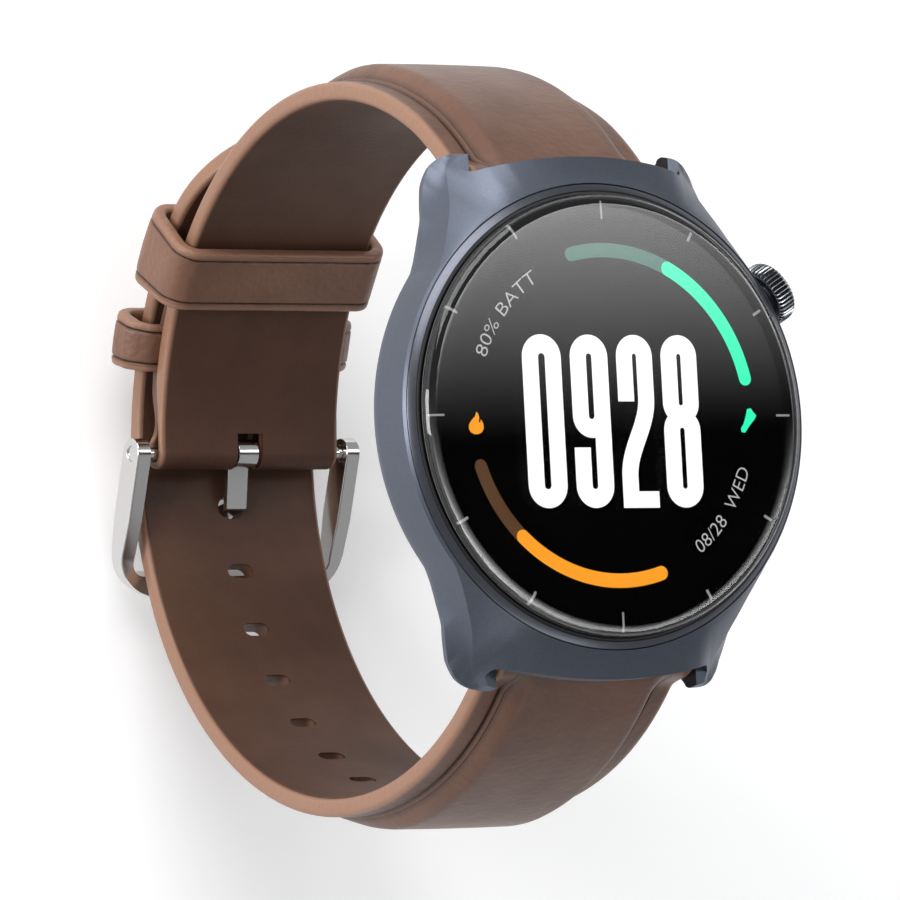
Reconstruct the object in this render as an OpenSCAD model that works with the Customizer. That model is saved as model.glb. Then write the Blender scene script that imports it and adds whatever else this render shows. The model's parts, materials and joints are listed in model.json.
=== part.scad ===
// Round smartwatch on a buckled leather strap.
// Frame: origin at the centre of the skin side of the back crystal, +Z out of
// the dial, +Y to 12 o'clock, +X to 3 o'clock. Strap angles are measured about
// the strap loop's centre from +Y towards +Z, so the buckle is near -90 degrees.

/* [Case] */
// Radius of the round middle of the case
case_r = 22.6; // [20:0.1:28]
// Height of the case's lower rim above the skin face
case_bottom = 2.3; // [2:0.1:3.5]
// Height from the lower rim to the top land
case_h = 6; // [5.5:0.1:8]
// Width of the gap between two lugs, for the strap
lug_gap = 22.4; // [18:0.1:27]
// Thickness of one lug, across the watch
lug_t = 4.2; // [3:0.1:5.2]
// How far a lug's tip reaches past its spring bar
lug_tip = 2.85; // [2.6:0.05:3.5]
// Radius of the bulge of the case between the lugs
hood_r = 50; // [40:1:70]

/* [Glass and display] */
// Width of the seal round the cover glass
glass_seal = 0.3; // [0.2:0.05:0.6]
// Thickness of the cover glass
glass_t = 1.6; // [1:0.1:2.4]
// Thickness of the display panel
display_t = 1.05; // [0.8:0.05:1.2]
// Width of the polished bezel ring
bezel_w = 0.75; // [0.6:0.05:0.9]

/* [Back] */
// Radius of the back crystal
crystal_r = 12.4; // [9:0.1:15]
// Thickness of the back crystal
crystal_t = 1.25; // [1:0.05:1.4]
// Radius of a back screw's head
screw_head_r = 0.9; // [0.6:0.05:1.1]

/* [Crown] */
// Radius of the crown's head
crown_r = 3.05; // [2:0.05:3.7]
// Length of the crown's head
crown_len = 2.3; // [1.5:0.1:4]
// Direction of the crown, clockwise from 12 o'clock
crown_a = 60; // [55:1:65]
// Radius of the crown's stem
stem_r = 0.8; // [0.6:0.05:1]
// Number of ridges round the crown
crown_ridges = 44; // [20:1:60]
// How far the crown goes in when it is pressed
crown_travel = 0.3; // [0.2:0.05:0.35]

/* [Spring bars] */
// Radius of a spring bar's tube
bar_r = 0.9; // [0.75:0.05:1.1]
// Height of the spring bars above the skin face
bar_z = 2.95; // [2.8:0.05:3.4]
// Radius of a spring bar's tip
tip_r = 0.42; // [0.3:0.02:0.5]
// How far a tip stands in its lug
tip_in = 1.2; // [0.8:0.1:1.5]

/* [Strap] */
// Inner radius of the strap loop at the lugs
loop_r = 34.6; // [28:0.1:42]
// How much the buckle strap's radius falls for each degree
loop_fall = 0.024; // [0.015:0.001:0.028]
// Thickness of the strap at its edge
edge_t = 1.8; // [1.5:0.05:2.2]
// Thickness of the lining, on the skin side
lining_t = 0.9; // [0.6:0.05:1.1]
// Height of the padding under the upper leather, at the lugs
pad_t = 1.7; // [1:0.1:2.1]
// Angle up to which the padding keeps its full height
pad_full_a = 12; // [8:1:30]
// Angle where the padding ends
pad_end_a = -20; // [-22:1:3]
// Width of the flat band at each edge
edge_band = 2.3; // [1.5:0.1:3]
// Width of the strap at its buckle end
buckle_w = 20.6; // [16:0.1:21]
// Thickness of the leather wrapped round a spring bar
eye_wall = 0.85; // [0.7:0.05:1]
// Thickness of the turned-back flap at the buckle
flap_t = 1; // [0.7:0.05:1.2]
// Angle between neighbouring strap holes
hole_step = 10.6; // [8:0.1:11]
// Width of a strap hole, across the strap
hole_w = 2.9; // [2.6:0.1:3.6]
// Length of a strap hole, along the strap
hole_l = 1.5; // [1.2:0.1:1.8]
// Length of the stretched hole that the tang is in
tang_hole_l = 2.2; // [1.8:0.1:2.4]
// Number of holes between the buckle and the lugs
free_holes = 6; // [3:1:6]

/* [Keepers] */
// Width of the free keeper, along the strap
free_keeper_w = 7.4; // [5:0.1:9]
// Width of the fixed keeper, along the strap
fixed_keeper_w = 5.2; // [4:0.1:5.6]
// Thickness of the keepers' leather
keeper_t = 1.3; // [1:0.05:1.6]

/* [Buckle] */
// Radius of the buckle's bar
pin_r = 0.75; // [0.6:0.05:0.9]
// Thickness of one arm of the buckle frame, across the watch
arm_t = 1.6; // [1.2:0.1:2]
// Height of the arms, seen from the side
arm_h = 3.1; // [2.4:0.1:3.4]
// Thickness of the front bar
front_t = 2.2; // [1.6:0.1:2.6]
// Width of the tang
tang_w = 2.3; // [2:0.1:2.5]
// Thickness of the tang's metal
tang_t = 0.8; // [0.6:0.05:0.9]

/* [Clearances] */
// Radial clearance of a shaft in its bore
run_gap = 0.05; // [0.03:0.01:0.08]
// Gap between parts that only pass each other
free_gap = 0.3; // [0.2:0.05:0.35]
// Gap between cases, covers and rings
seat_gap = 0.05; // [0.03:0.01:0.08]
// Gap on each side of the tucked-in end of the fixed keeper
tuck_gap = 0.05; // [0.03:0.01:0.08]

/* [Hidden] */
$fn = 96;

// heights in the case
case_top = case_bottom + case_h;
ledge_z = case_top - 0.05;
gasket_t = 0.35;
glass_z = ledge_z + gasket_t;
display_z = glass_z - display_t;
cover_z = 0.7;
flange_top = case_bottom - seat_gap;
spigot_top = case_bottom + 0.6;
chassis_z = spigot_top + 0.05;
floor_t = 0.5;
floor_z = case_bottom + 2.7;
board_z = floor_z + floor_t;
board_t = 0.8;
chassis_top = display_z - 0.2;
crown_z = case_bottom + 3.1;

// radii in the case
groove_out = case_r - 0.55;
groove_in = groove_out - bezel_w - 2 * seat_gap;
glass_r = groove_in - glass_seal;
ledge_r = groove_in - 1.45;
cavity_r = case_r - 3.3;
cover_r = case_r - 2.4;
chassis_r = cavity_r - 0.1;
chassis_in = chassis_r - 1.2;
board_r = chassis_in - 0.2;
window_r = crystal_r - 1.2;
screw_angles = [50, 140, 230, 320];
screw_at = chassis_in - 0.3;
boss_r = 1.4;
contact_room = screw_at - screw_head_r - 0.35 - crystal_r;
contact_w = 0.2 * contact_room;
contact_radii = [crystal_r + 0.3 * contact_room, crystal_r + 0.77 * contact_room];

// crown stack, as distances from the dial's axis
wall_out = case_r + 0.1;
crown_in = case_r + 0.4;
tube_r = stem_r + run_gap + 0.6;
stem_in = cavity_r - 4.4;
switch_out = stem_in - 0.7;
switch_in = switch_out - 2;
plunger_r = 0.9;
notch_w = 6;

// lugs and spring bars
bar_y = case_r - 0.07;
lug_y = bar_y + lug_tip;
lug_x = lug_gap / 2 + lug_t;
loop_tube_r = bar_r + eye_wall;
slot_r = loop_tube_r + free_gap;
slot_top = bar_z + slot_r;
tube_half = lug_gap / 2 - 0.6;
guide_r = bar_r - 0.3;
guide_in = tube_half - 3;

// strap loop
half_w = lug_gap / 2 - 0.25;
bar_loop_r = loop_r + loop_tube_r + 0.25;
bar_a = acos(bar_y / bar_loop_r);
loop_z = bar_z - bar_loop_r * sin(bar_a);
flat_a = 35;
buckle_a = -84.6;
fold_r = (edge_t + 1.3) / 2;
flap_a = -58;
tuck_t = 0.75;
skive = 0.25;
tail_slack = 0.55;
tail_in = strap_r(flap_a) + edge_t + tuck_t + flap_t + tail_slack - 0.02;
tip_start = 314;
tip_len = 20.2;
dip_a = 182;
dip = 1.15;
rise_a = 290;
tang_hole_a = 266.7;
strap_rings = 46;
tail_rings = 48;
tip_rings = 8;

// buckle
pin_at = loop_yz(strap_r(buckle_a) + fold_r, buckle_a);
frame_half = buckle_w / 2 + 1.05;
front_a = 256;
front_at = loop_yz(tail_r(front_a) + edge_t + 2 * free_gap + front_t / 2, front_a);
frame_len = norm(front_at - pin_at);
frame_tilt = atan2(front_at[1] - pin_at[1], front_at[0] - pin_at[0]);
pin_press = 0.2;

// keepers
keeper_mid = -51.5;
keeper_fit_a = -45;
fixed_mid = -66.7;
keeper_shift = loop_fall * 180 / PI;
keeper_axis = [keeper_shift * -sin(keeper_fit_a),
    loop_z + keeper_shift * cos(keeper_fit_a)];

// ---- functions ----

// Point of the loop at a radius and an angle, as [y, z]
function loop_yz(r, a) = [r * cos(a), loop_z + r * sin(a)];
// The same point with its place across the watch, as [x, y, z]
function loop_xyz(x, r, a) = [x, r * cos(a), loop_z + r * sin(a)];
function clamp01(t) = max(0, min(1, t));
function ease(t) = (1 - cos(180 * clamp01(t))) / 2;
// Inner radius of the buckle strap
function strap_r(a) = loop_r - loop_fall * max(0, flat_a - a);
// Inner radius of the holed strap: in from the lug, then out over the buckle
function tail_r(a) = a < dip_a
    ? loop_r - dip * ease((a - 180 + bar_a) / (dip_a - 180 + bar_a))
    : loop_r - dip + (tail_in - loop_r + dip) * ease((a - dip_a) / (rise_a - dip_a));
// Half width of either strap, narrowing from the lug to the buckle
function strap_w(t) = half_w + (buckle_w / 2 - half_w) * ease(t);
function buckle_half(a) = strap_w((bar_a - a) / 90);
function tail_half(a) = a < tip_start
    ? strap_w((a - 180 + bar_a) / 90)
    : buckle_w / 2 * sqrt(max(0, 1 - pow((a - tip_start) / tip_len, 2)));
// Height of the padding: full from the lug to pad_full_a, nothing at pad_end_a
function pad_at(a) = pad_t * ease((a - pad_end_a) / (pad_full_a - pad_end_a));
// How far the flap stands off the strap where the fixed keeper is tucked in
function tuck_at(a) = tuck_t * ease((a + 80) / 6) * ease((-54.5 - a) / 5);
// Distance and angle of a loop point about the axis that the free keeper slides about
function from_keeper_axis(r, a) = norm(loop_yz(r, a) - keeper_axis);
function keeper_angle(r, a) = let (p = loop_yz(r, a) - keeper_axis) atan2(p[1], p[0]);
function ring_angles(a0, a1, n) = [for (i = [0:n]) a0 + (a1 - a0) * i / n];

// Closed slab between two grids of points, low[i][j] under high[i][j]: rows run from
// +X to -X, and their angles about the loop fall from one row to the next
module slab(low, high) {
    n = len(low);
    m = len(low[0]);
    points = concat([for (row = low, p = row) p], [for (row = high, p = row) p]);
    top = n * m;
    function quad(a, b, c, d) = [[a, b, c], [a, c, d]];
    faces = concat(
        [for (i = [0:n - 2], j = [0:m - 2], f = quad(i * m + j, (i + 1) * m + j,
            (i + 1) * m + j + 1, i * m + j + 1)) f],
        [for (i = [0:n - 2], j = [0:m - 2], f = quad(top + i * m + j, top + i * m + j + 1,
            top + (i + 1) * m + j + 1, top + (i + 1) * m + j)) f],
        [for (i = [0:n - 2], f = quad(i * m, top + i * m, top + (i + 1) * m, (i + 1) * m)) f],
        [for (i = [0:n - 2], f = quad(i * m + m - 1, (i + 1) * m + m - 1,
            top + (i + 1) * m + m - 1, top + i * m + m - 1)) f],
        [for (j = [0:m - 2], f = quad(j, j + 1, top + j + 1, top + j)) f],
        [for (j = [0:m - 2], f = quad((n - 1) * m + j, top + (n - 1) * m + j,
            top + (n - 1) * m + j + 1, (n - 1) * m + j + 1)) f]);
    polyhedron(points, faces);
}

// Shape swept along X: a child drawn in the Y-Z plane, half the length each way
module across(half) {
    rotate([90, 0, 90]) translate([0, 0, -half]) linear_extrude(2 * half) children();
}

// Cylinder along X between two places
module pin(r, x0, x1) {
    translate([x0, 0, 0]) rotate([0, 90, 0]) cylinder(r = r, h = x1 - x0);
}

// Cylinder along the crown's axis between two distances from the dial's axis
module crown_pin(r, from, to) {
    crown_place(from) cylinder(r = r, h = to - from);
}

module crown_place(out) {
    translate([0, 0, crown_z]) rotate([0, 0, -crown_a]) translate([0, out, 0])
        rotate([-90, 0, 0]) children();
}

// Flat ring between two radii and two heights
module ring(r_in, r_out, z0, z1) {
    translate([0, 0, z0]) difference() {
        cylinder(r = r_out, h = z1 - z0);
        translate([0, 0, -1]) cylinder(r = r_in, h = z1 - z0 + 2);
    }
}

// Band of even thickness along a line of points, in the plane
module band(points, t) {
    for (i = [0:len(points) - 2]) {
        step = points[i + 1] - points[i];
        translate(points[i]) rotate(atan2(step[1], step[0])) translate([0, -t / 2])
            square([norm(step), t]);
    }
    for (i = [1:len(points) - 2]) translate(points[i]) circle(d = t, $fn = 32);
}

// Rectangle with round corners
module round_rect(x0, x1, y0, y1, r) {
    translate([x0, y0 + r]) square([x1 - x0, y1 - y0 - 2 * r]);
    translate([x0 + r, y0]) square([x1 - x0 - 2 * r, y1 - y0]);
    for (x = [x0 + r, x1 - r], y = [y0 + r, y1 - r])
        translate([x, y]) circle(r = r, $fn = 48);
}

// ---- case ----

module round_middle() {
    rotate_extrude() polygon([[0, case_bottom], [case_r - 1.3, case_bottom],
        [case_r - 0.75, case_bottom + 0.35], [case_r - 0.3, case_bottom + 1.1],
        [case_r - 0.05, case_bottom + 2.1], [case_r, case_bottom + 3.2],
        [case_r - 0.05, case_top - 1.4], [case_r - 0.16, case_top - 0.5],
        [case_r - 0.35, case_top - 0.1], [case_r - 0.5, case_top], [0, case_top]]);
}

// Side view of the lugs: a slope from the top land and a rounded nose
module lug_side() {
    polygon([[0, case_bottom + 0.2], [0, case_top], [bar_y - 4, case_top],
        [bar_y + 0.2, case_top - 1.55], [bar_y + 1.1, case_top - 2],
        [bar_y + 1.75, bar_z + 2.6], [lug_y - 0.5, bar_z + 1.4], [lug_y - 0.1, bar_z + 0.2],
        [lug_y, bar_z - 0.6], [lug_y - 0.3, bar_z - 1.25], [lug_y - 1.1, bar_z - 1.7],
        [lug_y - 2.3, bar_z - 1.75], [bar_y - 1.9, bar_z - 1.1],
        [bar_y - 3.1, case_bottom + 0.2]]);
}

// Plan view of the lugs on one end: outer sides that lean in to a rounded tip
module lug_plan() {
    side = [[lug_x + 2.4, bar_y - 9.2], [lug_x + 1.7, bar_y - 8], [lug_x + 1.15, bar_y - 6.6],
        [lug_x + 0.75, bar_y - 5], [lug_x + 0.4, bar_y - 3.2], [lug_x + 0.1, bar_y - 1.2],
        [lug_x - 0.15, bar_y + 0.6], [lug_x - 0.4, lug_y - 1.2], [lug_x - 0.8, lug_y - 0.6],
        [lug_x - 1.4, lug_y - 0.2], [lug_x - 2.2, lug_y]];
    last = len(side) - 1;
    polygon(concat(side, [for (i = [last:-1:0]) [-side[i][0], side[i][1]]]));
}

module lug_end() {
    intersection() {
        translate([0, 0, -1]) linear_extrude(case_top + 5) lug_plan();
        across(lug_x + 5) lug_side();
    }
}

// Bulge over the strap's end: a cone that falls from the bezel
module hood() {
    intersection() {
        translate([-lug_gap / 2 - 1, 0, slot_top]) cube([lug_gap + 2, lug_y, case_top]);
        rotate_extrude() polygon([[0, bar_z], [case_r + 6, bar_z],
            [case_r + 6, case_top - 5.4], [case_r - 0.55, case_top], [0, case_top]]);
    }
}

// Space in front of the bulge, between two lugs
module hood_front() {
    linear_extrude(case_top + 5) difference() {
        translate([-lug_gap / 2, bar_y - 2]) square([lug_gap, 10]);
        translate([0, bar_y + 2.2 - hood_r]) circle(r = hood_r, $fn = 240);
    }
}

// Room for the strap's end between two lugs
module strap_slot() {
    translate([0, bar_y, bar_z]) pin(slot_r, -lug_gap / 2, lug_gap / 2);
    translate([-lug_gap / 2, bar_y, slot_top - 20]) cube([lug_gap, 20, 20]);
    translate([-lug_gap / 2, bar_y - slot_r, bar_z - 20]) cube([lug_gap, 20, 20]);
}

module each_end() {
    children();
    mirror([0, 1, 0]) children();
}

module case_frame() {
    color("#4b505c") difference() {
        union() {
            round_middle();
            each_end() lug_end();
            each_end() hood();
        }
        translate([0, 0, -1]) cylinder(r = cavity_r, h = display_z + 0.9);
        translate([0, 0, -1]) cylinder(r = cover_r + seat_gap, h = case_bottom + 1);
        translate([0, 0, display_z - 0.1]) cylinder(r = ledge_r, h = 9);
        ring(groove_in, groove_out, ledge_z - 1, ledge_z + 5);
        translate([0, 0, ledge_z]) cylinder(r = groove_out, h = 5);
        each_end() strap_slot();
        each_end() hood_front();
        ring(cavity_r + 0.15, cavity_r + 0.75, case_bottom - 1, case_bottom + 0.25);
        each_end() translate([0, bar_y, bar_z])
            pin(tip_r + run_gap, -lug_gap / 2 - tip_in - 0.2, lug_gap / 2 + tip_in + 0.2);
        crown_pin(tube_r, cavity_r - 1, case_r + 5);
    }
}

module bezel_ring() {
    color("#8b8f99") rotate_extrude() polygon([[groove_in + seat_gap, ledge_z - 1],
        [groove_out - seat_gap, ledge_z - 1], [groove_out - seat_gap, case_top - 0.03],
        [groove_in + seat_gap + 0.08, case_top + 0.5], [groove_in + seat_gap, case_top + 0.45]]);
}

module glass_gasket() {
    color("#141416") {
        ring(ledge_r, groove_in, ledge_z, glass_z);
        ring(glass_r + 0.02, groove_in, glass_z, glass_z + 0.18);
    }
}

module cover_glass() {
    color("#1a1b1d") translate([0, 0, glass_z]) rotate_extrude() polygon(concat(
        [[0, 0], [glass_r, 0]],
        [for (a = [0:15:90]) [glass_r - 1.9 + 1.9 * cos(a), 0.3 + (glass_t - 0.3) * sin(a)]],
        [[0, glass_t]]));
}

module display_panel() {
    color("#08090a") translate([0, 0, display_z]) cylinder(r = ledge_r - 0.1, h = display_t);
}

module display_flex() {
    end = -chassis_in + 0.6;
    color("#c07a2c") across(4) band([[end + 4, display_z - 0.08], [end + 0.8, display_z - 0.08],
        [end, (display_z + board_z + board_t) / 2], [end + 0.8, board_z + board_t + 0.08],
        [end + 4, board_z + board_t + 0.08]], 0.15);
}

// ---- inside the case ----

module crown_notch(z0, z1) {
    translate([0, 0, z0]) rotate([0, 0, -crown_a])
        translate([-notch_w / 2, switch_in - 0.5, 0]) cube([notch_w, 30, z1 - z0]);
}

module at_screws() {
    for (a = screw_angles) rotate([0, 0, a]) translate([screw_at, 0, 0]) children();
}

module inner_chassis() {
    color("#2a2c30") difference() {
        union() {
            ring(chassis_in, chassis_r, chassis_z, chassis_top);
            translate([0, 0, floor_z]) cylinder(r = chassis_in + 0.2, h = floor_t);
            at_screws() translate([0, 0, chassis_z]) intersection() {
                cylinder(r = boss_r, h = floor_z - chassis_z + 0.1);
                translate([-screw_at, 0, 0]) cylinder(r = chassis_r, h = 9);
            }
        }
        crown_notch(chassis_z - 1, board_z + 3);
        at_screws() translate([0, 0, chassis_z - 1]) cylinder(r = 0.5, h = 2.6, $fn = 32);
    }
}

module main_board() {
    color("#1d5a3a") difference() {
        translate([0, 0, board_z]) cylinder(r = board_r, h = board_t);
        crown_notch(board_z - 1, board_z + 3);
    }
}

module shield_cans() {
    color("#b9bcc0") translate([0, 0, board_z + board_t]) {
        translate([-11, -9, 0]) cube([9, 8, 0.8]);
        translate([0, -10, 0]) cube([7.5, 10, 0.9]);
        translate([-8, 2, 0]) cube([10, 6, 0.7]);
    }
}

module battery() {
    color("#7f8890") translate([-11.5, -10.5, chassis_z + 0.05])
        cube([21, 14, floor_z - chassis_z - 0.05]);
}

module vibration_motor() {
    color("#a7abb0") translate([-6, 9.2, chassis_z + 0.05])
        cylinder(r = 4, h = floor_z - chassis_z - 0.05);
}

module sensor_board() {
    color("#20603f") translate([0, 0, crystal_t + 0.6]) cylinder(r = window_r - 0.4, h = 0.6);
}

module sensor_leds() {
    color("#dff5e2") for (x = [-3.2, 0, 3.2])
        translate([x - 0.9, -0.8, crystal_t + 0.1]) cube([1.8, 1.6, 0.5]);
}

module light_barrier() {
    color("#101113") ring(5.2, 6, crystal_t, crystal_t + 0.6);
}

module back_crystal() {
    color("#16181b") rotate_extrude() polygon([[0, 0], [crystal_r - 0.8, 0],
        [crystal_r, 0.5], [crystal_r, crystal_t], [0, crystal_t]]);
}

module back_cover() {
    color("#2b2e33") difference() {
        union() {
            rotate_extrude() polygon([[0, cover_z], [cover_r - 0.7, cover_z],
                [cover_r, cover_z + 0.6], [cover_r, flange_top], [0, flange_top]]);
            translate([0, 0, cover_z]) cylinder(r = cavity_r - seat_gap, h = spigot_top - cover_z);
        }
        translate([0, 0, -1]) cylinder(r = crystal_r + seat_gap, h = crystal_t + 1);
        translate([0, 0, -1]) cylinder(r = window_r, h = 9);
        ring(window_r - 1, cavity_r - 0.75, flange_top - 0.05, spigot_top + 1);
        for (r = contact_radii) ring(r, r + contact_w, cover_z - 1, cover_z + 0.5);
        at_screws() translate([0, 0, -1]) cylinder(r = screw_head_r + run_gap, h = cover_z + 1.7);
        at_screws() translate([0, 0, -1]) cylinder(r = 0.6, h = 9, $fn = 32);
    }
}

module back_gasket() {
    color("#17181a") ring(cavity_r + 0.2, cavity_r + 0.7, flange_top, case_bottom + 0.22);
}

module charging_rings() {
    color("#c9a24a") for (r = contact_radii)
        ring(r + 0.01, r + contact_w - 0.01, cover_z - 0.05, cover_z + 0.5);
}

module back_screws() {
    color("#9da1a6") at_screws() {
        translate([0, 0, cover_z + 0.1]) difference() {
            cylinder(r = screw_head_r, h = 0.6);
            translate([0, 0, -0.1]) cylinder(r = 0.4, h = 0.4, $fn = 6);
        }
        cylinder_from(0.5, cover_z + 0.6, chassis_z + 1.5);
    }
}

module cylinder_from(r, z0, z1) {
    translate([0, 0, z0]) cylinder(r = r, h = z1 - z0, $fn = 32);
}

// ---- crown ----

module crown() {
    depth = 0.16;
    step = 180 / crown_ridges;
    color("#2d3036") crown_place(crown_in) difference() {
        intersection() {
            linear_extrude(crown_len) polygon([for (i = [0:2 * crown_ridges - 1])
                (crown_r - depth * (i % 2)) * [cos(i * step), sin(i * step)]]);
            rotate_extrude() polygon([[0, 0], [crown_r - 0.3, 0], [crown_r, 0.3],
                [crown_r, crown_len - 0.8], [crown_r - 0.25, crown_len - 0.3],
                [crown_r - 0.9, crown_len], [0, crown_len]]);
        }
        translate([0, 0, -1]) cylinder(r = stem_r, h = 2.5);
    }
}

module crown_stem() {
    color("#b4b7bb") crown_pin(stem_r, stem_in, crown_in + 1.5);
}

module crown_tube() {
    color("#83878d") crown_place(cavity_r) difference() {
        cylinder(r = tube_r, h = wall_out - cavity_r);
        translate([0, 0, -1]) cylinder(r = stem_r + run_gap, h = 9);
        translate([0, 0, 1]) cylinder(r = stem_r + 0.35, h = 1.2);
    }
}

module crown_seal() {
    color("#111214") crown_place(cavity_r + 1) for (z = [0.05, 0.65])
        translate([0, 0, z]) difference() {
            cylinder(r = stem_r + 0.34, h = 0.45);
            translate([0, 0, -1]) cylinder(r = stem_r + 0.02, h = 3);
        }
}

module encoder_magnet() {
    color("#50545a") crown_place(stem_in + 1) difference() {
        cylinder(r = 1.7, h = 1.2);
        translate([0, 0, -1]) cylinder(r = stem_r, h = 4);
    }
}

module switch_plunger() {
    color("#c4c7ca") crown_pin(plunger_r, stem_in - crown_travel - 0.9, stem_in - 0.02);
}

module crown_switch() {
    color("#26282c") difference() {
        crown_place(switch_in) translate([-2, -1.6, 0]) cube([4, 3.2, switch_out - switch_in]);
        crown_pin(plunger_r + run_gap, stem_in - 2 * crown_travel - 1, switch_out + 1);
    }
}

// ---- spring bars ----

module spring_bar() {
    translate([0, bar_y, bar_z]) difference() {
        pin(bar_r, -tube_half, tube_half);
        pin(guide_r + run_gap, -tube_half - 1, tube_half + 1);
    }
}

// Tip on the side of +X: a guide in the tube and a pin in the lug
module bar_tip() {
    translate([0, bar_y, bar_z]) {
        pin(guide_r, guide_in, tube_half + 0.1);
        pin(tip_r, tube_half, lug_gap / 2 + tip_in);
    }
}

// Coil between the two tips, inside the tube
module bar_spring() {
    turns = 9;
    sides = 4;
    per_turn = 8;
    wire = 0.11;
    coil_r = guide_r - 2 * wire;
    length = 2 * guide_in - 4 * wire;
    n = turns * per_turn;
    points = [for (i = [0:n], k = [0:sides - 1])
        let (a = 360 * i / per_turn, s = 360 * k / sides, r = coil_r + wire * cos(s))
        [-length / 2 + length * i / n + wire * sin(s), r * cos(a), r * sin(a)]];
    walls = [for (i = [0:n - 1], k = [0:sides - 1])
        let (a = i * sides + k, b = i * sides + (k + 1) % sides)
        [a, a + sides, b + sides, b]];
    caps = [[for (k = [0:sides - 1]) k], [for (k = [sides - 1:-1:0]) n * sides + k]];
    translate([0, bar_y, bar_z]) polyhedron(points, concat(walls, caps));
}

module spring_bar_12() { color("#c2c4c7") spring_bar(); }
module spring_bar_6() { color("#c2c4c7") mirror([0, 1, 0]) spring_bar(); }
module bar_tip_12_right() { color("#aeb1b5") bar_tip(); }
module bar_tip_12_left() { color("#aeb1b5") mirror([1, 0, 0]) bar_tip(); }
module bar_tip_6_right() { color("#aeb1b5") mirror([0, 1, 0]) bar_tip(); }
module bar_tip_6_left() { color("#aeb1b5") rotate([0, 0, 180]) bar_tip(); }
module bar_spring_12() { color("#8f9296") bar_spring(); }
module bar_spring_6() { color("#8f9296") mirror([0, 1, 0]) bar_spring(); }

// ---- strap ----

// Rows of points across the strap at one angle, for the faces of its layers
function flat_row(x, r, a) = [loop_xyz(x, r, a), loop_xyz(-x, r, a)];
function raised_row(x, inner, slope, r, p, a) = [
    loop_xyz(x, r, a), loop_xyz(inner + slope, r, a), loop_xyz(inner, r + p, a),
    loop_xyz(-inner, r + p, a), loop_xyz(-inner - slope, r, a), loop_xyz(-x, r, a)];
function pad_slope(x) = min(0.5, x * 0.1);
function pad_half(x) = max(x - edge_band - 0.75, x * 0.4);

// Leather wrapped round a spring bar
module strap_eye() {
    translate([0, bar_y, bar_z]) pin(loop_tube_r, -half_w, half_w);
}

module eye_bore() {
    translate([0, bar_y, bar_z]) pin(bar_r + run_gap, -half_w - 1, half_w + 1);
}

module fold_slot() {
    translate([0, pin_at[0], pin_at[1]]) rotate([buckle_a + 90, 0, 0])
        translate([-tang_w / 2 - 0.3, -3, -3]) cube([tang_w + 0.6, 5, 7]);
}

// Angles from the middle of a bore to the middle of the leather wall round it
eye_lead = asin((bar_r + run_gap + loop_tube_r) / 2 / bar_loop_r);
fold_lead = asin((pin_r + run_gap + fold_r) / 2 / strap_r(buckle_a));
strap_angles = ring_angles(bar_a - eye_lead, buckle_a + fold_lead, strap_rings);
pad_angles = [for (a = strap_angles) if (a < bar_a - 3 && pad_at(a) > 0.1) a];
lining_angles = [for (a = strap_angles) if (a < bar_a - 3 && a > buckle_a + 3) a];

module buckle_strap_upper() {
    color("#7d5747") difference() {
        union() {
            slab([for (a = strap_angles) let (x = buckle_half(a))
                    raised_row(x, pad_half(x), pad_slope(x), strap_r(a) + lining_t, pad_at(a), a)],
                [for (a = strap_angles) let (x = buckle_half(a), thin = skive * ease((-70 - a) / 8))
                    raised_row(x, pad_half(x) + pad_slope(x) / 2, pad_slope(x), strap_r(a) + edge_t - thin,
                        pad_at(a), a)]);
            strap_eye();
            translate([0, pin_at[0], pin_at[1]]) pin(fold_r, -buckle_w / 2, buckle_w / 2);
            flap();
        }
        eye_bore();
        translate([0, pin_at[0], pin_at[1]]) pin(pin_r + run_gap, -20, 20);
        fold_slot();
    }
}

// Turned-back end of the upper, over the tucked ends of the fixed keeper
module flap() {
    angles = ring_angles(flap_a, buckle_a + fold_lead, 14);
    thick = function (a) flap_t - 0.5 * ease((a + 66) / 8);
    slab([for (a = angles) flat_row(buckle_w / 2 - 0.6,
            strap_r(a) + edge_t - skive + 0.01 + skive * ease((a + 78) / 8) + tuck_at(a), a)],
        [for (a = angles) flat_row(buckle_w / 2 - 0.6,
            strap_r(a) + edge_t - skive + skive * ease((a + 78) / 8) + tuck_at(a) + thick(a), a)]);
}

module buckle_strap_padding() {
    color("#c9b79c") slab(
        [for (a = pad_angles) flat_row(pad_half(buckle_half(a)), strap_r(a) + lining_t, a)],
        [for (a = pad_angles) flat_row(pad_half(buckle_half(a)),
            strap_r(a) + lining_t + pad_at(a), a)]);
}

module buckle_strap_lining() {
    color("#4c382e") difference() {
        slab([for (a = lining_angles) flat_row(buckle_half(a), strap_r(a), a)],
            [for (a = lining_angles) flat_row(buckle_half(a), strap_r(a) + lining_t, a)]);
        fold_slot();
    }
}

tail_angles = concat([for (i = [tip_rings:-1:1]) tip_start + tip_len * sin(i * 84 / tip_rings)],
    ring_angles(tip_start, 180 - bar_a + eye_lead, tail_rings));
tail_pad_angles = [for (a = tail_angles) if (a > 183 - bar_a && pad_at(180 - a) > 0.1) a];
tail_lining_angles = [for (a = tail_angles) if (a > 183 - bar_a) a];

// Slots through the strap: the tang's own hole and its neighbours
module strap_holes() {
    for (i = [-1:free_holes]) {
        a = tang_hole_a - i * hole_step;
        long = i == 0 ? tang_hole_l : hole_l;
        translate([0, 0, loop_z]) rotate([a, 0, 0]) translate([0, tail_r(a) - 2, 0])
            rotate([-90, 0, 0]) linear_extrude(edge_t + 4) {
                square([hole_w - long, long], center = true);
                for (s = [-1, 1]) translate([s * (hole_w - long) / 2, 0])
                    circle(d = long, $fn = 32);
            }
    }
}

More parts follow.
